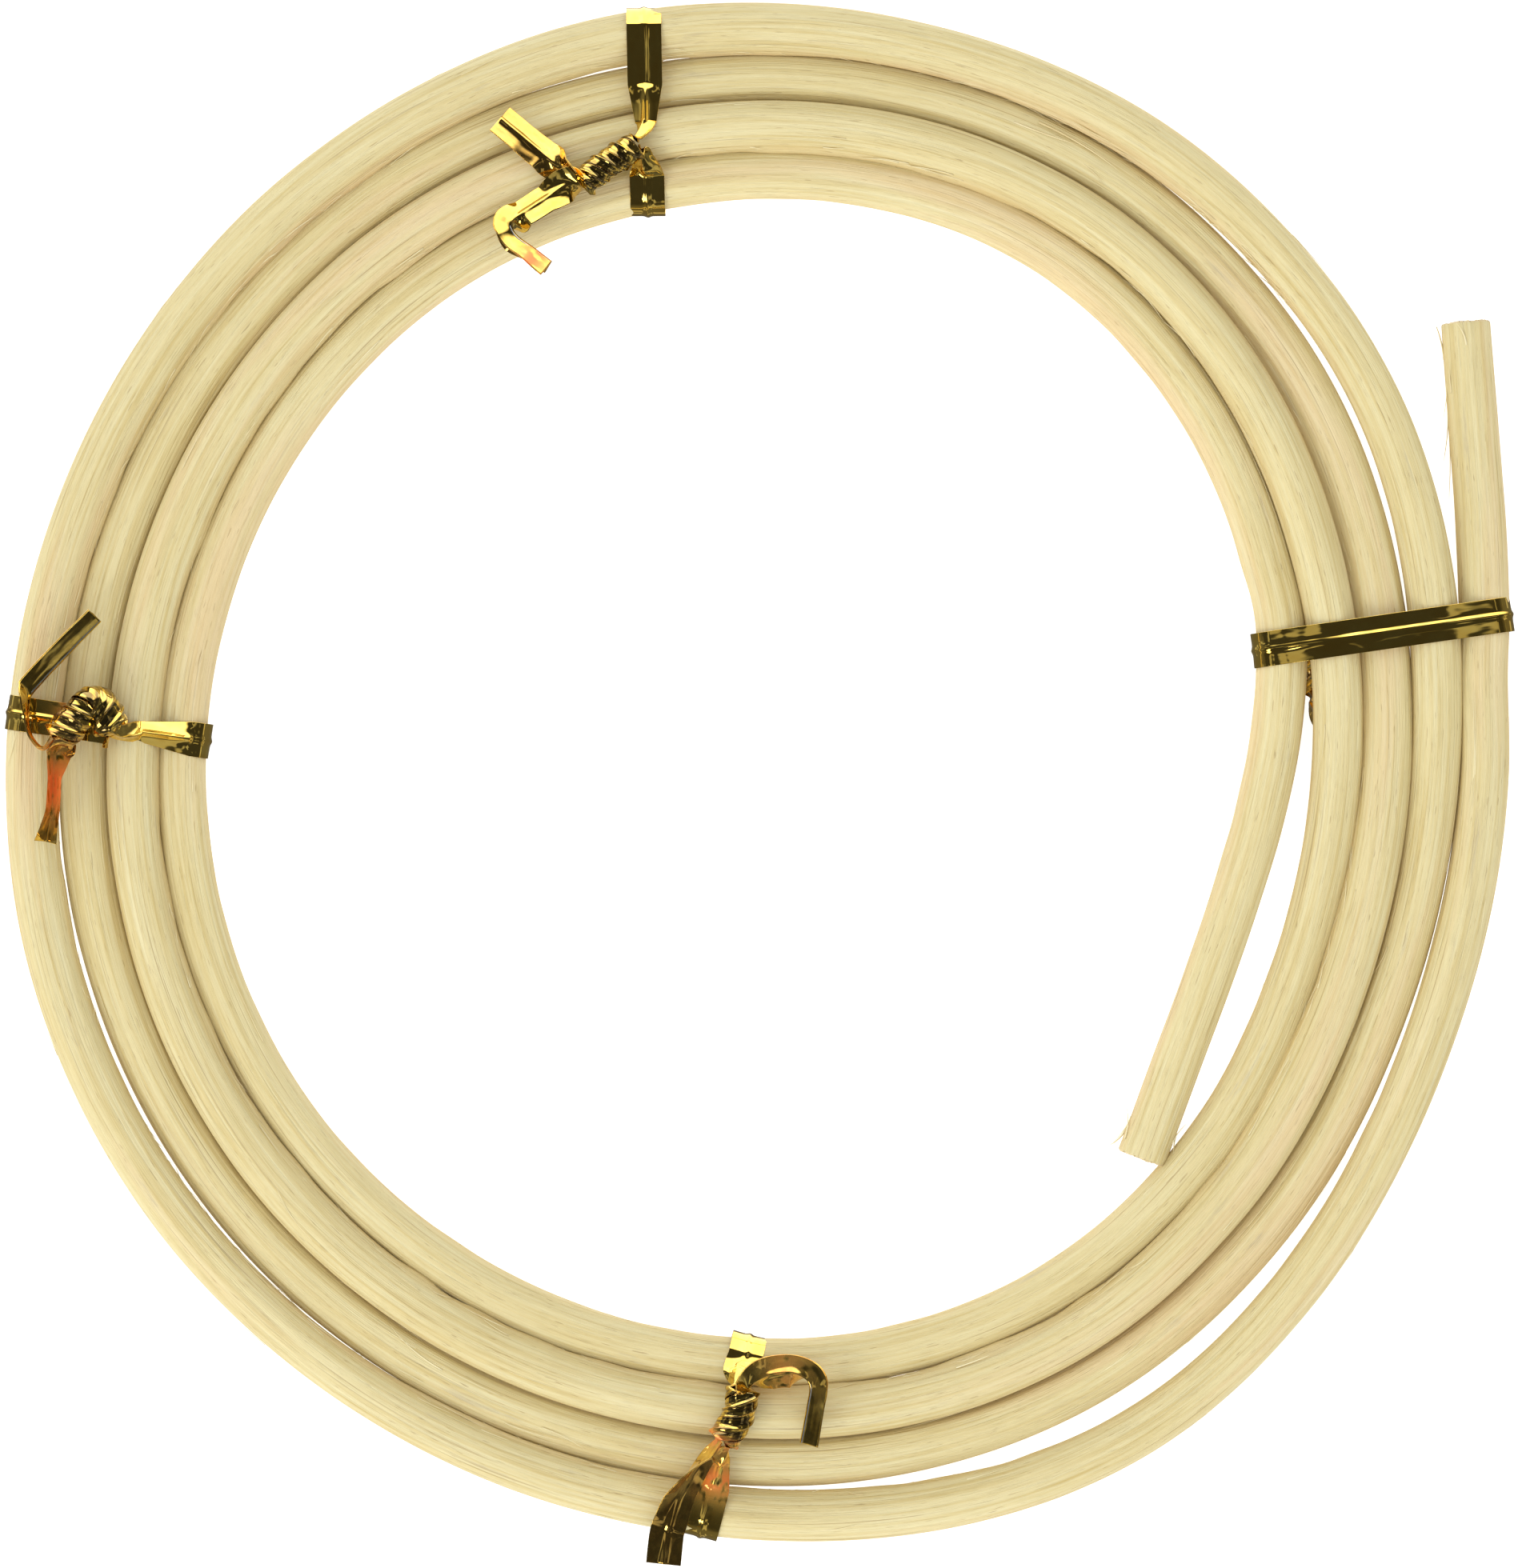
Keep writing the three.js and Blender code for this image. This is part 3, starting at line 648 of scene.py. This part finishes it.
def make_fibres(line, along):
    travel, outwards, upwards = rod_frame(line)
    points, grains, faces = [], [], []
    for count, job in enumerate(fibre_jobs(np.random.default_rng(FIBRE_SEED))):
        new_points, new_grain = fibre_points(job, along, (line, outwards, upwards, travel))
        points.append(new_points)
        grains.append(new_grain)
        faces += closed_tube(FIBRE_RINGS, FIBRE_SIDES, count * FIBRE_SIDES * FIBRE_RINGS)
    piece = new_piece("reed_fibres", np.vstack(points), faces, [fibre_material()])
    add_grain(piece, np.vstack(grains))


# ---- the ties' routes ----

# Each tie goes in a band round all the turns. Its ends twist together in a knot and run on as tails.
# The band turns over the ring's two sides at inner and outer. side is 1 for a knot on top, knot is the
# twist's axis, wrap its radius, and gathers how far back from it each end starts to narrow. A tail's rows
# are x, y, height above the band, roll in degrees, and how far its halves are folded. An inline tie's
# outer end comes in at the far end of its twist. One that doubles back turns sharply into it.
TIES = [
    {
        "name": "top_tie", "inner": [-14.4, 72.9], "outer": [-14.9, 98.9], "side": 1,
        "knot": [[-15.7, 80.7], [-19.4, 78.4], [-22.6, 76.0]],
        "knot_rise": 1.7, "knot_width": 5.6, "turns": 1.5, "wrap": 1.75,
        "gathers": [9.0, 5.0],
        "tails": [
            [[-24.6, 75.6, 1.9, 10], [-27.4, 73.8, 2.0, -34], [-30.4, 71.9, 2.0, -34],
             [-31.9, 70.8, 2.2, 30, 30], [-32.0, 69.9, 2.4, 85, 55], [-31.2, 68.7, 2.4, 90, 60],
             [-29.2, 67.2, 2.4, 84, 44], [-26.8, 65.4, 2.4, 84, 42]],
            [[-25.4, 77.6, 1.3, 130], [-27.6, 79.4, 1.0, 200], [-30.6, 81.9, 1.1, 208],
             [-33.4, 84.2, 1.3, 208]],
        ],
    },
    {
        "name": "left_tie", "inner": [-71.8, 3.8], "outer": [-97.5, 7.6], "side": 1,
        "knot": [[-83.4, 5.4], [-85.2, 8.6], [-87.8, 6.8], [-90.2, 4.2]],
        "knot_rise": 3.0, "knot_width": 6.8, "turns": 1.75, "wrap": 2.2,
        "doubles_back": True, "gathers": [2.0, 12.0],
        "tails": [
            [[-92.2, 2.8, 3.2, 85], [-93.8, 4.4, 3.3, 88], [-94.3, 6.8, 3.2, 90], [-94.1, 9.2, 3.0, 88, 20],
             [-93.7, 10.1, 2.8, 85, 50], [-92.4, 11.6, 2.6, 85, 50], [-89.4, 14.8, 2.4, 85, 50],
             [-85.0, 19.4, 2.2, 85, 50]],
            [[-90.9, 2.2, 2.2, 40, -40], [-91.0, -1.0, 2.1, 12, -67], [-91.2, -5.0, 2.0, 10, -66],
             [-91.7, -7.6, 1.8, 8, -58], [-92.0, -9.2, 1.7, 5, -50]],
        ],
    },
    {
        "name": "bottom_tie", "inner": [-1.1, -73.6], "outer": [-7.6, -99.2], "side": 1,
        "knot": [[-2.0, -80.0], [-2.6, -83.2], [-4.6, -86.4]],
        "knot_rise": 2.0, "knot_width": 6.2, "turns": 1, "wrap": 2.0,
        "inline": True, "gathers": [7.0, 3.5],
        "tails": [
            [[-0.9, -79.0, 2.4, 50, 12], [1.4, -77.9, 2.6, 10, 14], [4.2, -77.6, 2.8, 4, 16],
             [6.2, -78.4, 2.7, 40, 40], [6.8, -79.6, 2.6, 80, 50], [6.5, -82.0, 2.3, 85, 50],
             [5.6, -86.8, 1.9, 85, 50]],
            [[-6.9, -87.8, 2.5, 100, 40], [-8.9, -90.6, 2.3, 130, 30], [-10.5, -94.0, 1.6, 155, 15],
             [-11.5, -97.4, 1.1, 170], [-11.9, -98.8, 0.8, 170], [-12.3, -102.6, 0.9, 178]],
        ],
    },
    {
        "name": "right_tie", "inner": [64.4, 15.5], "outer": [97.7, 20.3], "side": -1,
        "knot": [[71.0, 14.6], [71.2, 12.0], [71.4, 9.4]],
        "knot_rise": 1.2, "knot_width": 2.4, "turns": 1, "wrap": 1.2,
        "gathers": [4.0, 4.0],
        "tails": [
            [[73.6, 7.2, 1.1, 40], [77.8, 5.8, 1.5, 5], [82.6, 5.0, 1.5, 0]],
            [[69.2, 7.2, 1.1, 40], [67.6, 4.0, 1.5, 5], [67.0, 0.2, 1.5, 0]],
        ],
    },
]

# Painted red reflections, where folded foil reflects itself: x, y and how far each spreads.
PAINTED_REFLECTION_SPOTS = [
    (-91.3, -1.8, 4.6), (-5.3, -91.9, 2.5), (3.4, -79.5, 2.2), (-90.0, 7.4, 1.2), (-84.5, 10.2, 0.9),
    (-5.2, -86.6, 1.2), (-11.4, -92.0, 1.0), (-28.6, 66.6, 1.9),
]
BAND, LEAD, KNOT, TAIL = 0.0, 1.0, 2.0, 3.0     # the zones of a tie
WIDTH, ZONE, FOLD = 9, 10, 11                   # columns of a station's row, after its three vectors


def station(position, normal, travel, width, zone, fold=0.0):
    """A row: the place, the way across the strip, the way out of its face, its width, zone and fold."""
    across = unit(np.cross(travel, normal))
    return np.array([*position, *across, *unit(np.cross(across, travel)), width, zone, fold])


def turned(vector, axis, degrees):
    angle = math.radians(degrees)
    cos, sin = math.cos(angle), math.sin(angle)
    return vector * cos + np.cross(axis, vector) * sin + axis * np.dot(axis, vector) * (1 - cos)


def place_on(points, part):
    """The point and the direction of a curve through the points, part of the way along."""
    fine = smooth_rows(np.array(points, dtype=float), 40)
    ways = travels(fine)
    place = part * (len(fine) - 1)
    low = min(int(place), len(fine) - 2)
    share = place - low
    point = fine[low] + (fine[low + 1] - fine[low]) * share
    return point, unit(ways[low] + (ways[low + 1] - ways[low]) * share)


def lead(start, start_travel, end, end_travel):
    """Rows on a smooth curve from one station to another, between a band and a twist."""
    handles = np.array([
        start[:3], start[:3] + start_travel * LEAD_HANDLE, end[:3] - end_travel * LEAD_HANDLE, end[:3],
    ])
    start_across = np.cross(start_travel, start[6:9])
    end_across = np.cross(end_travel, end[6:9])
    rows = []
    for step in range(1, LEAD_STEPS + 1):
        t = step / (LEAD_STEPS + 1)
        weights = np.array([(1 - t) ** 3, 3 * t * (1 - t) ** 2, 3 * t * t * (1 - t), t ** 3])
        slopes = np.array([-(1 - t) ** 2, (1 - t) ** 2 - 2 * t * (1 - t), 2 * t * (1 - t) - t * t, t * t])
        travel = unit(slopes @ handles)
        across = start_across * (1 - t) + end_across * t
        width = start[WIDTH] * (1 - t) + end[WIDTH] * t
        rows.append(station(weights @ handles, np.cross(across, travel), travel, width, LEAD))
    return rows


def convex_hull(points):
    def chain(ordered):
        kept = []
        for point in ordered:
            while len(kept) > 1:
                (ax, ay), (bx, by) = kept[-2], kept[-1]
                if (bx - ax) * (point[1] - ay) - (by - ay) * (point[0] - ax) > 0:
                    break
                kept.pop()
            kept.append(point)
        return kept[:-1]

    ordered = sorted(points)
    return chain(ordered) + chain(ordered[::-1])


def bundle_outline(route, start, outwards):
    """Round all the turns, in the upright plane of a tie: how far out, and how high."""
    sideways = np.cross(UP, outwards)
    samples = []
    for here, there in zip(route[:-1] - start, route[1:] - start):
        here_side, there_side = here @ sideways, there @ sideways
        if here_side * there_side > 0:
            continue
        crossing = here + (there - here) * here_side / (here_side - there_side)
        reach = crossing @ outwards
        if reach < NEAREST_TURN or reach > FARTHEST_TURN:
            continue
        along = there - here
        slant = abs(along @ outwards / (along @ sideways)) * TIE_WIDTH / 2
        for degrees in range(0, 360, OUTLINE_STEP):
            angle = math.radians(degrees)
            samples.append((
                reach + (ROD_WIDTH / 2 + BAND_CLEARANCE + SLANT_ROOM * slant) * math.cos(angle),
                crossing[2] + (ROD_HEIGHT / 2 + BAND_CLEARANCE) * math.sin(angle),
            ))
    return convex_hull(samples)


def band_stations(tie, route, start, outwards):
    def reach_of(point):
        return (np.array([*point, 0]) + RING_CENTRE - start) @ outwards

    side = tie["side"]
    inner_reach = reach_of(tie["knot"][0]) - KNOT_LEAD
    entry = tie["knot"][-1] if tie.get("inline") else tie["knot"][0]
    outer_reach = reach_of(entry) + (HAIRPIN_LEAD if tie.get("doubles_back") else KNOT_LEAD)
    outline = bundle_outline(route, start, outwards)
    middle = sum(height for _, height in outline) / len(outline)
    near = sorted(point for point in outline if (point[1] - middle) * side > 0)
    kept = [
        point for point in outline
        if not ((point[1] - middle) * side > 0 and inner_reach < point[0] < outer_reach)
    ]
    for reach in (inner_reach, outer_reach):
        kept.append((reach, float(np.interp(reach, [x for x, _ in near], [y for _, y in near]))))
    centre = (inner_reach + outer_reach) / 2

    def outer_first(point):
        return (math.pi / 2 - math.atan2((point[1] - middle) * side, point[0] - centre)) % (2 * math.pi)

    kept.sort(key=outer_first)
    apart = [
        point for place, point in enumerate(kept)
        if place in (0, len(kept) - 1) or (
            math.dist(point, kept[place - 1]) > BEND_STEP and math.dist(point, kept[-1]) > BEND_STEP
        )
    ]
    points = np.array([[*(start + outwards * reach)[:2], height] for reach, height in apart])
    ways = np.vstack([points[1] - points[0], points[2:] - points[:-2], points[-1] - points[-2]])
    rows = []
    for point, way in zip(points, ways):
        travel = unit(way)
        normal = np.cross(travel, np.cross(UP, outwards)) * side
        rows.append(station(point, normal, travel, TIE_WIDTH, BAND))
    return rows


def knot_stations(tie, outwards, band_z):
    axis_z = band_z + tie["side"] * tie["knot_rise"]
    axis = [[*(np.array(point) + RING_CENTRE[:2]), axis_z] for point in tie["knot"]]
    first_travel = place_on(axis, 0)[1]
    first_angle = 0
    if tie.get("doubles_back"):
        first_angle = -90
    elif not tie.get("inline") and np.cross(UP, first_travel) @ outwards < 0:
        first_angle = 180
    steps = round(tie["turns"] * 360 / KNOT_STEP)
    strands = {"outer": [], "inner": []}
    for step in range(steps + 1):
        part = step / steps
        point, travel = place_on(axis, part)
        level = unit(np.cross(UP, travel))
        normal = turned(level, travel, first_angle + part * tie["turns"] * 360)
        for strand, sign in (("outer", 1), ("inner", -1)):
            place = point + normal * sign * STRAND_OFFSET
            strands[strand].append(station(place, normal * sign, travel, tie["knot_width"], KNOT))
    last_travel = place_on(axis, 1)[1]
    return strands, first_travel, last_travel if tie.get("inline") else -first_travel


def tail_stations(tie, tail, knot_end, band_z):
    points = [[*(np.array(row[:2]) + RING_CENTRE[:2]), band_z + tie["side"] * row[2]] for row in tail]
    curve = [list(knot_end[:3])] + points
    rolls = [90] + [row[3] for row in tail]
    folds = [0] + [row[4] if len(row) > 4 else 0 for row in tail]

    def rolled(travel, degrees):
        flat = unit(np.cross(np.cross(travel, UP), travel)) * tie["side"]
        return turned(flat, travel, degrees)

    way = 1 if rolled(place_on(curve, 0)[1], 90) @ knot_end[6:9] > 0 else -1
    rows = []
    for step in range(1, len(tail) * TAIL_STEPS + 1):
        place = step / TAIL_STEPS
        point, travel = place_on(curve, place / len(tail))
        roll = np.interp(place, range(len(rolls)), rolls)
        fold = np.interp(place, range(len(folds)), folds)
        width = np.interp(place, [0, 1], [tie["knot_width"], TIE_WIDTH])
        rows.append(station(point, rolled(travel, way * roll), travel, width, TAIL, fold))
    return rows


def tie_stations(tie, route):
    start = np.array([*tie["inner"], 0]) + RING_CENTRE
    outwards = unit(np.array([*tie["outer"], 0]) + RING_CENTRE - start)
    band = band_stations(tie, route, start, outwards)
    band_z = band[0][2]
    strands, inner_travel, outer_travel = knot_stations(tie, outwards, band_z)
    outer = strands["outer"] if tie.get("inline") else strands["outer"][::-1]
    inner = strands["inner"]
    outer_tail = tail_stations(tie, tie["tails"][0], outer[0], band_z)[::-1]
    inner_tail = tail_stations(tie, tie["tails"][1], inner[-1], band_z)
    rows = np.array(
        outer_tail + outer + lead(outer[-1], outer_travel, band[0], outwards) + band
        + lead(band[-1], outwards, inner[0], inner_travel) + inner + inner_tail
    )
    wanted = np.cross(travels(rows[:, :3]), rows[:, 6:9])
    flips = np.sign(np.sum(rows[:, 3:6] * wanted, axis=1))
    rows[:, 3:6] *= np.where(flips < 0, -1, 1)[:, None]
    return rows


# ---- the ties' foil ----

# How strongly each zone of a tie is crumpled: its sharp creases, its long pleats, and how much each
# half leans about the wire.
CREASE_DEPTH = {BAND: 0.026, LEAD: 0.09, KNOT: 0.26, TAIL: 0.028}
PLEAT_DEPTH = {BAND: 0.0, LEAD: 0.03, KNOT: 0.03, TAIL: 0.0}
LEAN = {BAND: 0.035, LEAD: 0.08, KNOT: 0.08, TAIL: 0.05}
CREASES_PER_MM = 0.5
CREASE_CENTRE = (-1.8, 1.8)         # across the strip
CREASE_SLANT = 0.9                  # radians, from straight across the strip
CREASE_WIDTH = (0.9, 2.6)
CREASE_LENGTH = (1.0, 2.6)
CREASE_STRENGTH = (0.4, 1.0)
LEAN_LENGTH = 5.0           # along a tie, in which its halves' lean changes
# The painted shade in the foil's twists: how strong it is there, and how far from a twist it fades out.
PAINTED_SHADE_SHARE = 0.85           # of the dark reflections, in a twist
PAINTED_SHADE_REACH = 1.35           # zones away from a twist, where the dark reflections end
FOLD_LIFT = 0.35            # share of its width that a pinched strip's ridge rises by
CURL_OPENING = 0.08         # how much wider the curl in a twist is at the strip's edges
CURL_FADE = 1.2             # the curl ends 1 / 1.2 of a zone away from the twist

# Where the films have points across each half of a tie, close together at the ridge and the edge.
HALF = [0.07, 0.15, 0.25, 0.38, 0.54, 0.7, 0.86, 0.985, 1]
ACROSS_STRIP = np.array([-share for share in HALF[::-1]] + [0] + HALF)


def zone_values(depths, zone):
    return np.interp(zone, list(depths), list(depths.values()))[:, None]


def crumple(rng, along, reach, zone):
    """How far each point of a strip stands off its smooth middle."""
    x, s = reach, along[:, None]
    creases = np.zeros_like(x)
    for _ in range(int(along[-1] * CREASES_PER_MM)):
        at, centre = rng.uniform(0, along[-1]), rng.uniform(*CREASE_CENTRE)
        angle = rng.normal(0, CREASE_SLANT)
        away = (s - at) * math.cos(angle) + (x - centre) * math.sin(angle)
        beside = -(s - at) * math.sin(angle) + (x - centre) * math.cos(angle)
        sharp = np.clip(1 - np.abs(away) / rng.uniform(*CREASE_WIDTH), 0, 1)
        fade = np.exp(-(beside / rng.uniform(*CREASE_LENGTH)) ** 2)
        creases += rng.choice([-1, 1]) * sharp * fade * rng.uniform(*CREASE_STRENGTH)
    pleats = np.cos(x * 3.2 + 1.3 * np.sin(s * 0.55 + rng.uniform(0, 6)))
    cells = max(int(along[-1] / LEAN_LENGTH), 2)
    leans = value_noise(rng, len(along), 2, cells, 2)
    sides = np.where(x > 0, leans[:, :1], leans[:, 1:]) * np.abs(x)
    return (
        zone_values(CREASE_DEPTH, zone) * creases + zone_values(PLEAT_DEPTH, zone) * pleats
        + zone_values(LEAN, zone) * sides
    )


def pinch_shares(tie, along, zone):
    """The share of its width that a strip shows: less and less on its way into a twist."""
    knots, band = along[zone == KNOT], along[zone == BAND]
    outer, inner = tie["gathers"]
    shares = np.ones_like(along)
    before, after = knots[knots < band[0]][-1], knots[knots > band[-1]][0]
    for pinch, way, length in ((before, 1, outer), (after, -1, inner)):
        away = (along - pinch) * way
        shown = PINCH + (1 - PINCH) * np.clip(away / length, 0, 1)
        shares = np.minimum(shares, np.where(away >= 0, shown, 1))
    return np.where(zone == TAIL, 1, shares)


def section(rows, folds, wrap):
    """Each point's place across a strip and out of its face: folded about the wire, or curled in a twist."""
    width, zone = rows[:, WIDTH:WIDTH + 1], rows[:, ZONE:ZONE + 1]
    flat = width / 2 * ACROSS_STRIP[None, :]
    half = np.radians(folds)[:, None]
    lift = np.where(zone < KNOT, np.sin(np.abs(half)) * width * FOLD_LIFT, 0)
    folded = flat * np.cos(half), lift - np.abs(flat) * np.sin(half)
    radius = wrap * (1 + CURL_OPENING * ACROSS_STRIP[None, :] ** 2)
    curled = radius * np.sin(flat / radius), radius * np.cos(flat / radius) - STRAND_OFFSET
    curl = eased(np.clip(1 - np.abs(zone - KNOT) * CURL_FADE, 0, 1))
    return flat, *(one * (1 - curl) + other * curl for one, other in zip(folded, curled))


def strip_faces(rings):
    """A film's quads: round it, and over the two ends of its strip."""
    count = len(ACROSS_STRIP)
    sides = 2 * count
    faces = skin_faces(rings, sides)
    last = (rings - 1) * sides
    for side in range(count - 1):
        quad = (side, side + 1, sides - 2 - side, sides - 1 - side)
        faces.append(quad[::-1])
        faces.append(tuple(last + corner for corner in quad))
    return faces


def make_film(tie, name, face, material, strip):
    """One of a tie's films: face is 1 for the one on its face, and -1 for the one on its back."""
    place, across, normal, flat, reach, off, grain, shares = strip
    ridge = (WIRE_RADIUS + RIDGE_CLEARANCE - FOIL_GAP) * np.exp(-(flat / RIDGE_WIDTH) ** 2)
    inner = FOIL_GAP + ridge
    skins = []
    for height in (inner + FOIL_THICKNESS, inner):
        lifted = off + face * height
        skins.append(place[:, None, :] + across[:, None, :] * reach[:, :, None]
                     + normal[:, None, :] * lifted[:, :, None])
    rings = np.concatenate([skins[0], skins[1][:, ::-1]], axis=1)
    if face > 0:
        rings = rings[:, ::-1]
    piece = new_piece(f"{tie['name']}_{name}_foil", rings.reshape(-1, 3), strip_faces(len(rings)),
                      [material], [f"{tie['name']}_{name}_film"])
    add_grain(piece, grain)
    for kind, values in shares.items():
        add_share(piece, kind, np.repeat(values, 2 * len(ACROSS_STRIP)))


def make_tie(tie, route, seed, face_material, back_material, steel):
    rows, along = evenly(tie_stations(tie, route), FOIL_STEP)
    place, across, normal = rows[:, :3], rows[:, 3:6], rows[:, 6:9]
    across = across / np.linalg.norm(across, axis=1)[:, None]
    normal = normal - across * np.sum(across * normal, axis=1)[:, None]
    normal /= np.linalg.norm(normal, axis=1)[:, None]
    rows[:, ZONE] = np.clip(rows[:, ZONE], BAND, TAIL)
    shown = pinch_shares(tie, along, np.round(rows[:, ZONE]))
    pinch_folds = np.minimum(np.degrees(np.arccos(shown)), STEEPEST_FOLD)
    rows[:, WIDTH] *= shown / np.cos(np.radians(pinch_folds))
    flat, reach, height = section(rows, rows[:, FOLD] + pinch_folds, tie["wrap"])
    off = height + crumple(np.random.default_rng(seed), along, flat, rows[:, ZONE])
    wide = np.concatenate([flat, flat[:, ::-1]], axis=1)
    lengths = np.broadcast_to(along[:, None], wide.shape)
    grain = np.stack([lengths, wide, np.full_like(wide, seed * 10.0)], 2).reshape(-1, 3)
    middle = place - RING_CENTRE
    # Painted red reflection, at the listed spots round the ring.
    painted_reflection = sum(
        np.exp(-((middle[:, 0] - x) ** 2 + (middle[:, 1] - y) ** 2) / spread ** 2) for x, y, spread in PAINTED_REFLECTION_SPOTS
    )
    shares = {
        "painted_reflection": np.clip(painted_reflection, 0, 1),
        # Painted shade, strongest in the twists.
        "painted_shade": PAINTED_SHADE_SHARE * np.clip(PAINTED_SHADE_REACH - np.abs(rows[:, ZONE] - KNOT), 0, 1),
    }
    strip = place, across, normal, flat, reach, off, grain, shares
    make_film(tie, "face", 1, face_material, strip)
    make_film(tie, "back", -1, back_material, strip)
    make_wire(tie, place + normal * off[:, len(HALF):len(HALF) + 1], across, normal, along, steel)


def make_wire(tie, middle, across, normal, along, steel):
    _, cos, sin, spokes = round_spokes(WIRE_SIDES, across, normal)
    rings = middle[:, None, :] + (WIRE_RADIUS - WIRE_CLEARANCE) * spokes
    piece = new_piece(f"{tie['name']}_steel", rings.reshape(-1, 3), closed_tube(len(rings), WIRE_SIDES),
                      [steel], [f"{tie['name']}_wire"])
    grain = np.stack(np.broadcast_arrays(along[:, None], cos, sin), 2)
    add_grain(piece, grain.reshape(-1, 3))


# ---- the studio ----

VIEW_HEIGHT = 203.8         # of the table, from the top to the bottom of the view
VIEW_CENTRE = (-0.15, -0.37)
LENS = 135
SENSOR = 36
TABLE_TO_RINGS_MIDDLE = 6.0

TABLE_HALF = 3.0            # metres
TABLE_GAP = 0.0002          # metres, under the lowest point of the CAD
TABLE_GREY = (0.55, 0.55, 0.55)
TABLE_GLOW = 0.82           # keeps the table white, whatever shades it

KEY_WAY = (-0.62, -0.68, 0.38)      # where the soft light is strongest
SOFT_LIGHT = (0.80, 1.35)           # its strength at the far side, and towards KEY_WAY
SOFT_EDGE = (-0.7, 0.9)
ROOM_DARK = 0.04                    # what the foil mirrors
WALL_BRIGHT = 2.3
WALL_EDGE = (0.46, 0.64)
HORIZON_GLOW = 0.10
HORIZON_EDGE = (0.05, 0.45)
LAMP_GLOW = 0.35
LAMP_EDGE = (0.56, 0.66)
LAMP_SCALE = 3.0
ROOM_COLOUR = (1, 0.99, 0.97)

KEY_PLACE = (-0.468, -0.54, 0.558)  # metres
KEY_POWER = 1.3                     # watts
KEY_SIZE = 0.30
KEY_COLOUR = (1.0, 0.97, 0.92)


def make_camera():
    data = bpy.data.cameras.new("camera")
    data.lens = LENS
    data.sensor_width = SENSOR
    camera = new_object("camera", data)
    away = VIEW_HEIGHT * LENS / SENSOR + TABLE_TO_RINGS_MIDDLE
    camera.location = (VIEW_CENTRE[0] * MM, VIEW_CENTRE[1] * MM, away * MM)
    bpy.context.scene.camera = camera


def make_table():
    corners = [(x * TABLE_HALF, y * TABLE_HALF, 0) for x, y in ((-1, -1), (1, -1), (1, 1), (-1, 1))]
    mesh = bpy.data.meshes.new("table_top")
    mesh.from_pydata(corners, [], [(0, 1, 2, 3)])
    table = new_object("table_top", mesh)
    table.location.z = cad_box[0].z - TABLE_GAP
    mesh.materials.append(Shader(bpy.data.materials.new("table_white")).finish({
        "Base Color": TABLE_GREY,
        "Roughness": 0.9,
        "Emission Color": (1, 1, 1),
        "Emission Strength": TABLE_GLOW,
    }))
    table.visible_glossy = False


def make_world():
    """Even light all round for the reed; the foil mirrors a dark room with one bright wall."""
    shader = Shader(bpy.data.worlds.new("studio"), "Background")
    way = shader.node("ShaderNodeTexCoord").outputs["Generated"]
    split = shader.node("ShaderNodeSeparateXYZ", {"Vector": way})
    towards = shader.node("ShaderNodeVectorMath", {0: way, 1: KEY_WAY}, operation="DOT_PRODUCT")
    soft = shader.level(towards.outputs["Value"], *SOFT_EDGE, *SOFT_LIGHT)
    wall = shader.level(split.outputs["Y"], *WALL_EDGE, ROOM_DARK, WALL_BRIGHT)
    low = shader.level(split.outputs["Z"], *HORIZON_EDGE, HORIZON_GLOW, 0.0)
    clutter = shader.noise(way, scale=LAMP_SCALE, detail=1.0, roughness=0.5)
    lamps = shader.level(clutter, *LAMP_EDGE, 0.0, LAMP_GLOW)
    room = shader.math("ADD", shader.math("ADD", wall, low), lamps)
    glossy = shader.node("ShaderNodeLightPath").outputs["Is Glossy Ray"]
    strength = shader.node("ShaderNodeMix", {0: glossy, 2: soft, 3: room}).outputs[0]
    bpy.context.scene.world = shader.finish({"Color": ROOM_COLOUR, "Strength": strength})


def make_key_light():
    data = bpy.data.lights.new("key", "AREA")
    data.energy = KEY_POWER
    data.size = KEY_SIZE
    data.color = KEY_COLOUR
    key = new_object("key", data)
    key.location = KEY_PLACE
    key.rotation_mode = "QUATERNION"
    key.rotation_quaternion = key.location.to_track_quat("Z", "Y")


make_camera()
route = reed_route()
rod_line, rod_along = make_rod(route)
make_fibres(rod_line, rod_along)
face_gold = foil_material("gold_face", (0.97, 0.70, 0.16), (0.92, 0.60, 0.11), 0.05)
back_gold = foil_material("gold_back", (0.96, 0.64, 0.15), (0.90, 0.52, 0.11), 0.06)
steel = wire_material()
for seed, tie in enumerate(TIES, FIRST_TIE_SEED):
    make_tie(tie, route, seed, face_gold, back_gold, steel)
make_table()
make_world()
make_key_light()
bpy.context.scene.view_settings.view_transform = "Standard"
bpy.context.scene.view_settings.look = "None"

bpy.context.view_layer.update()
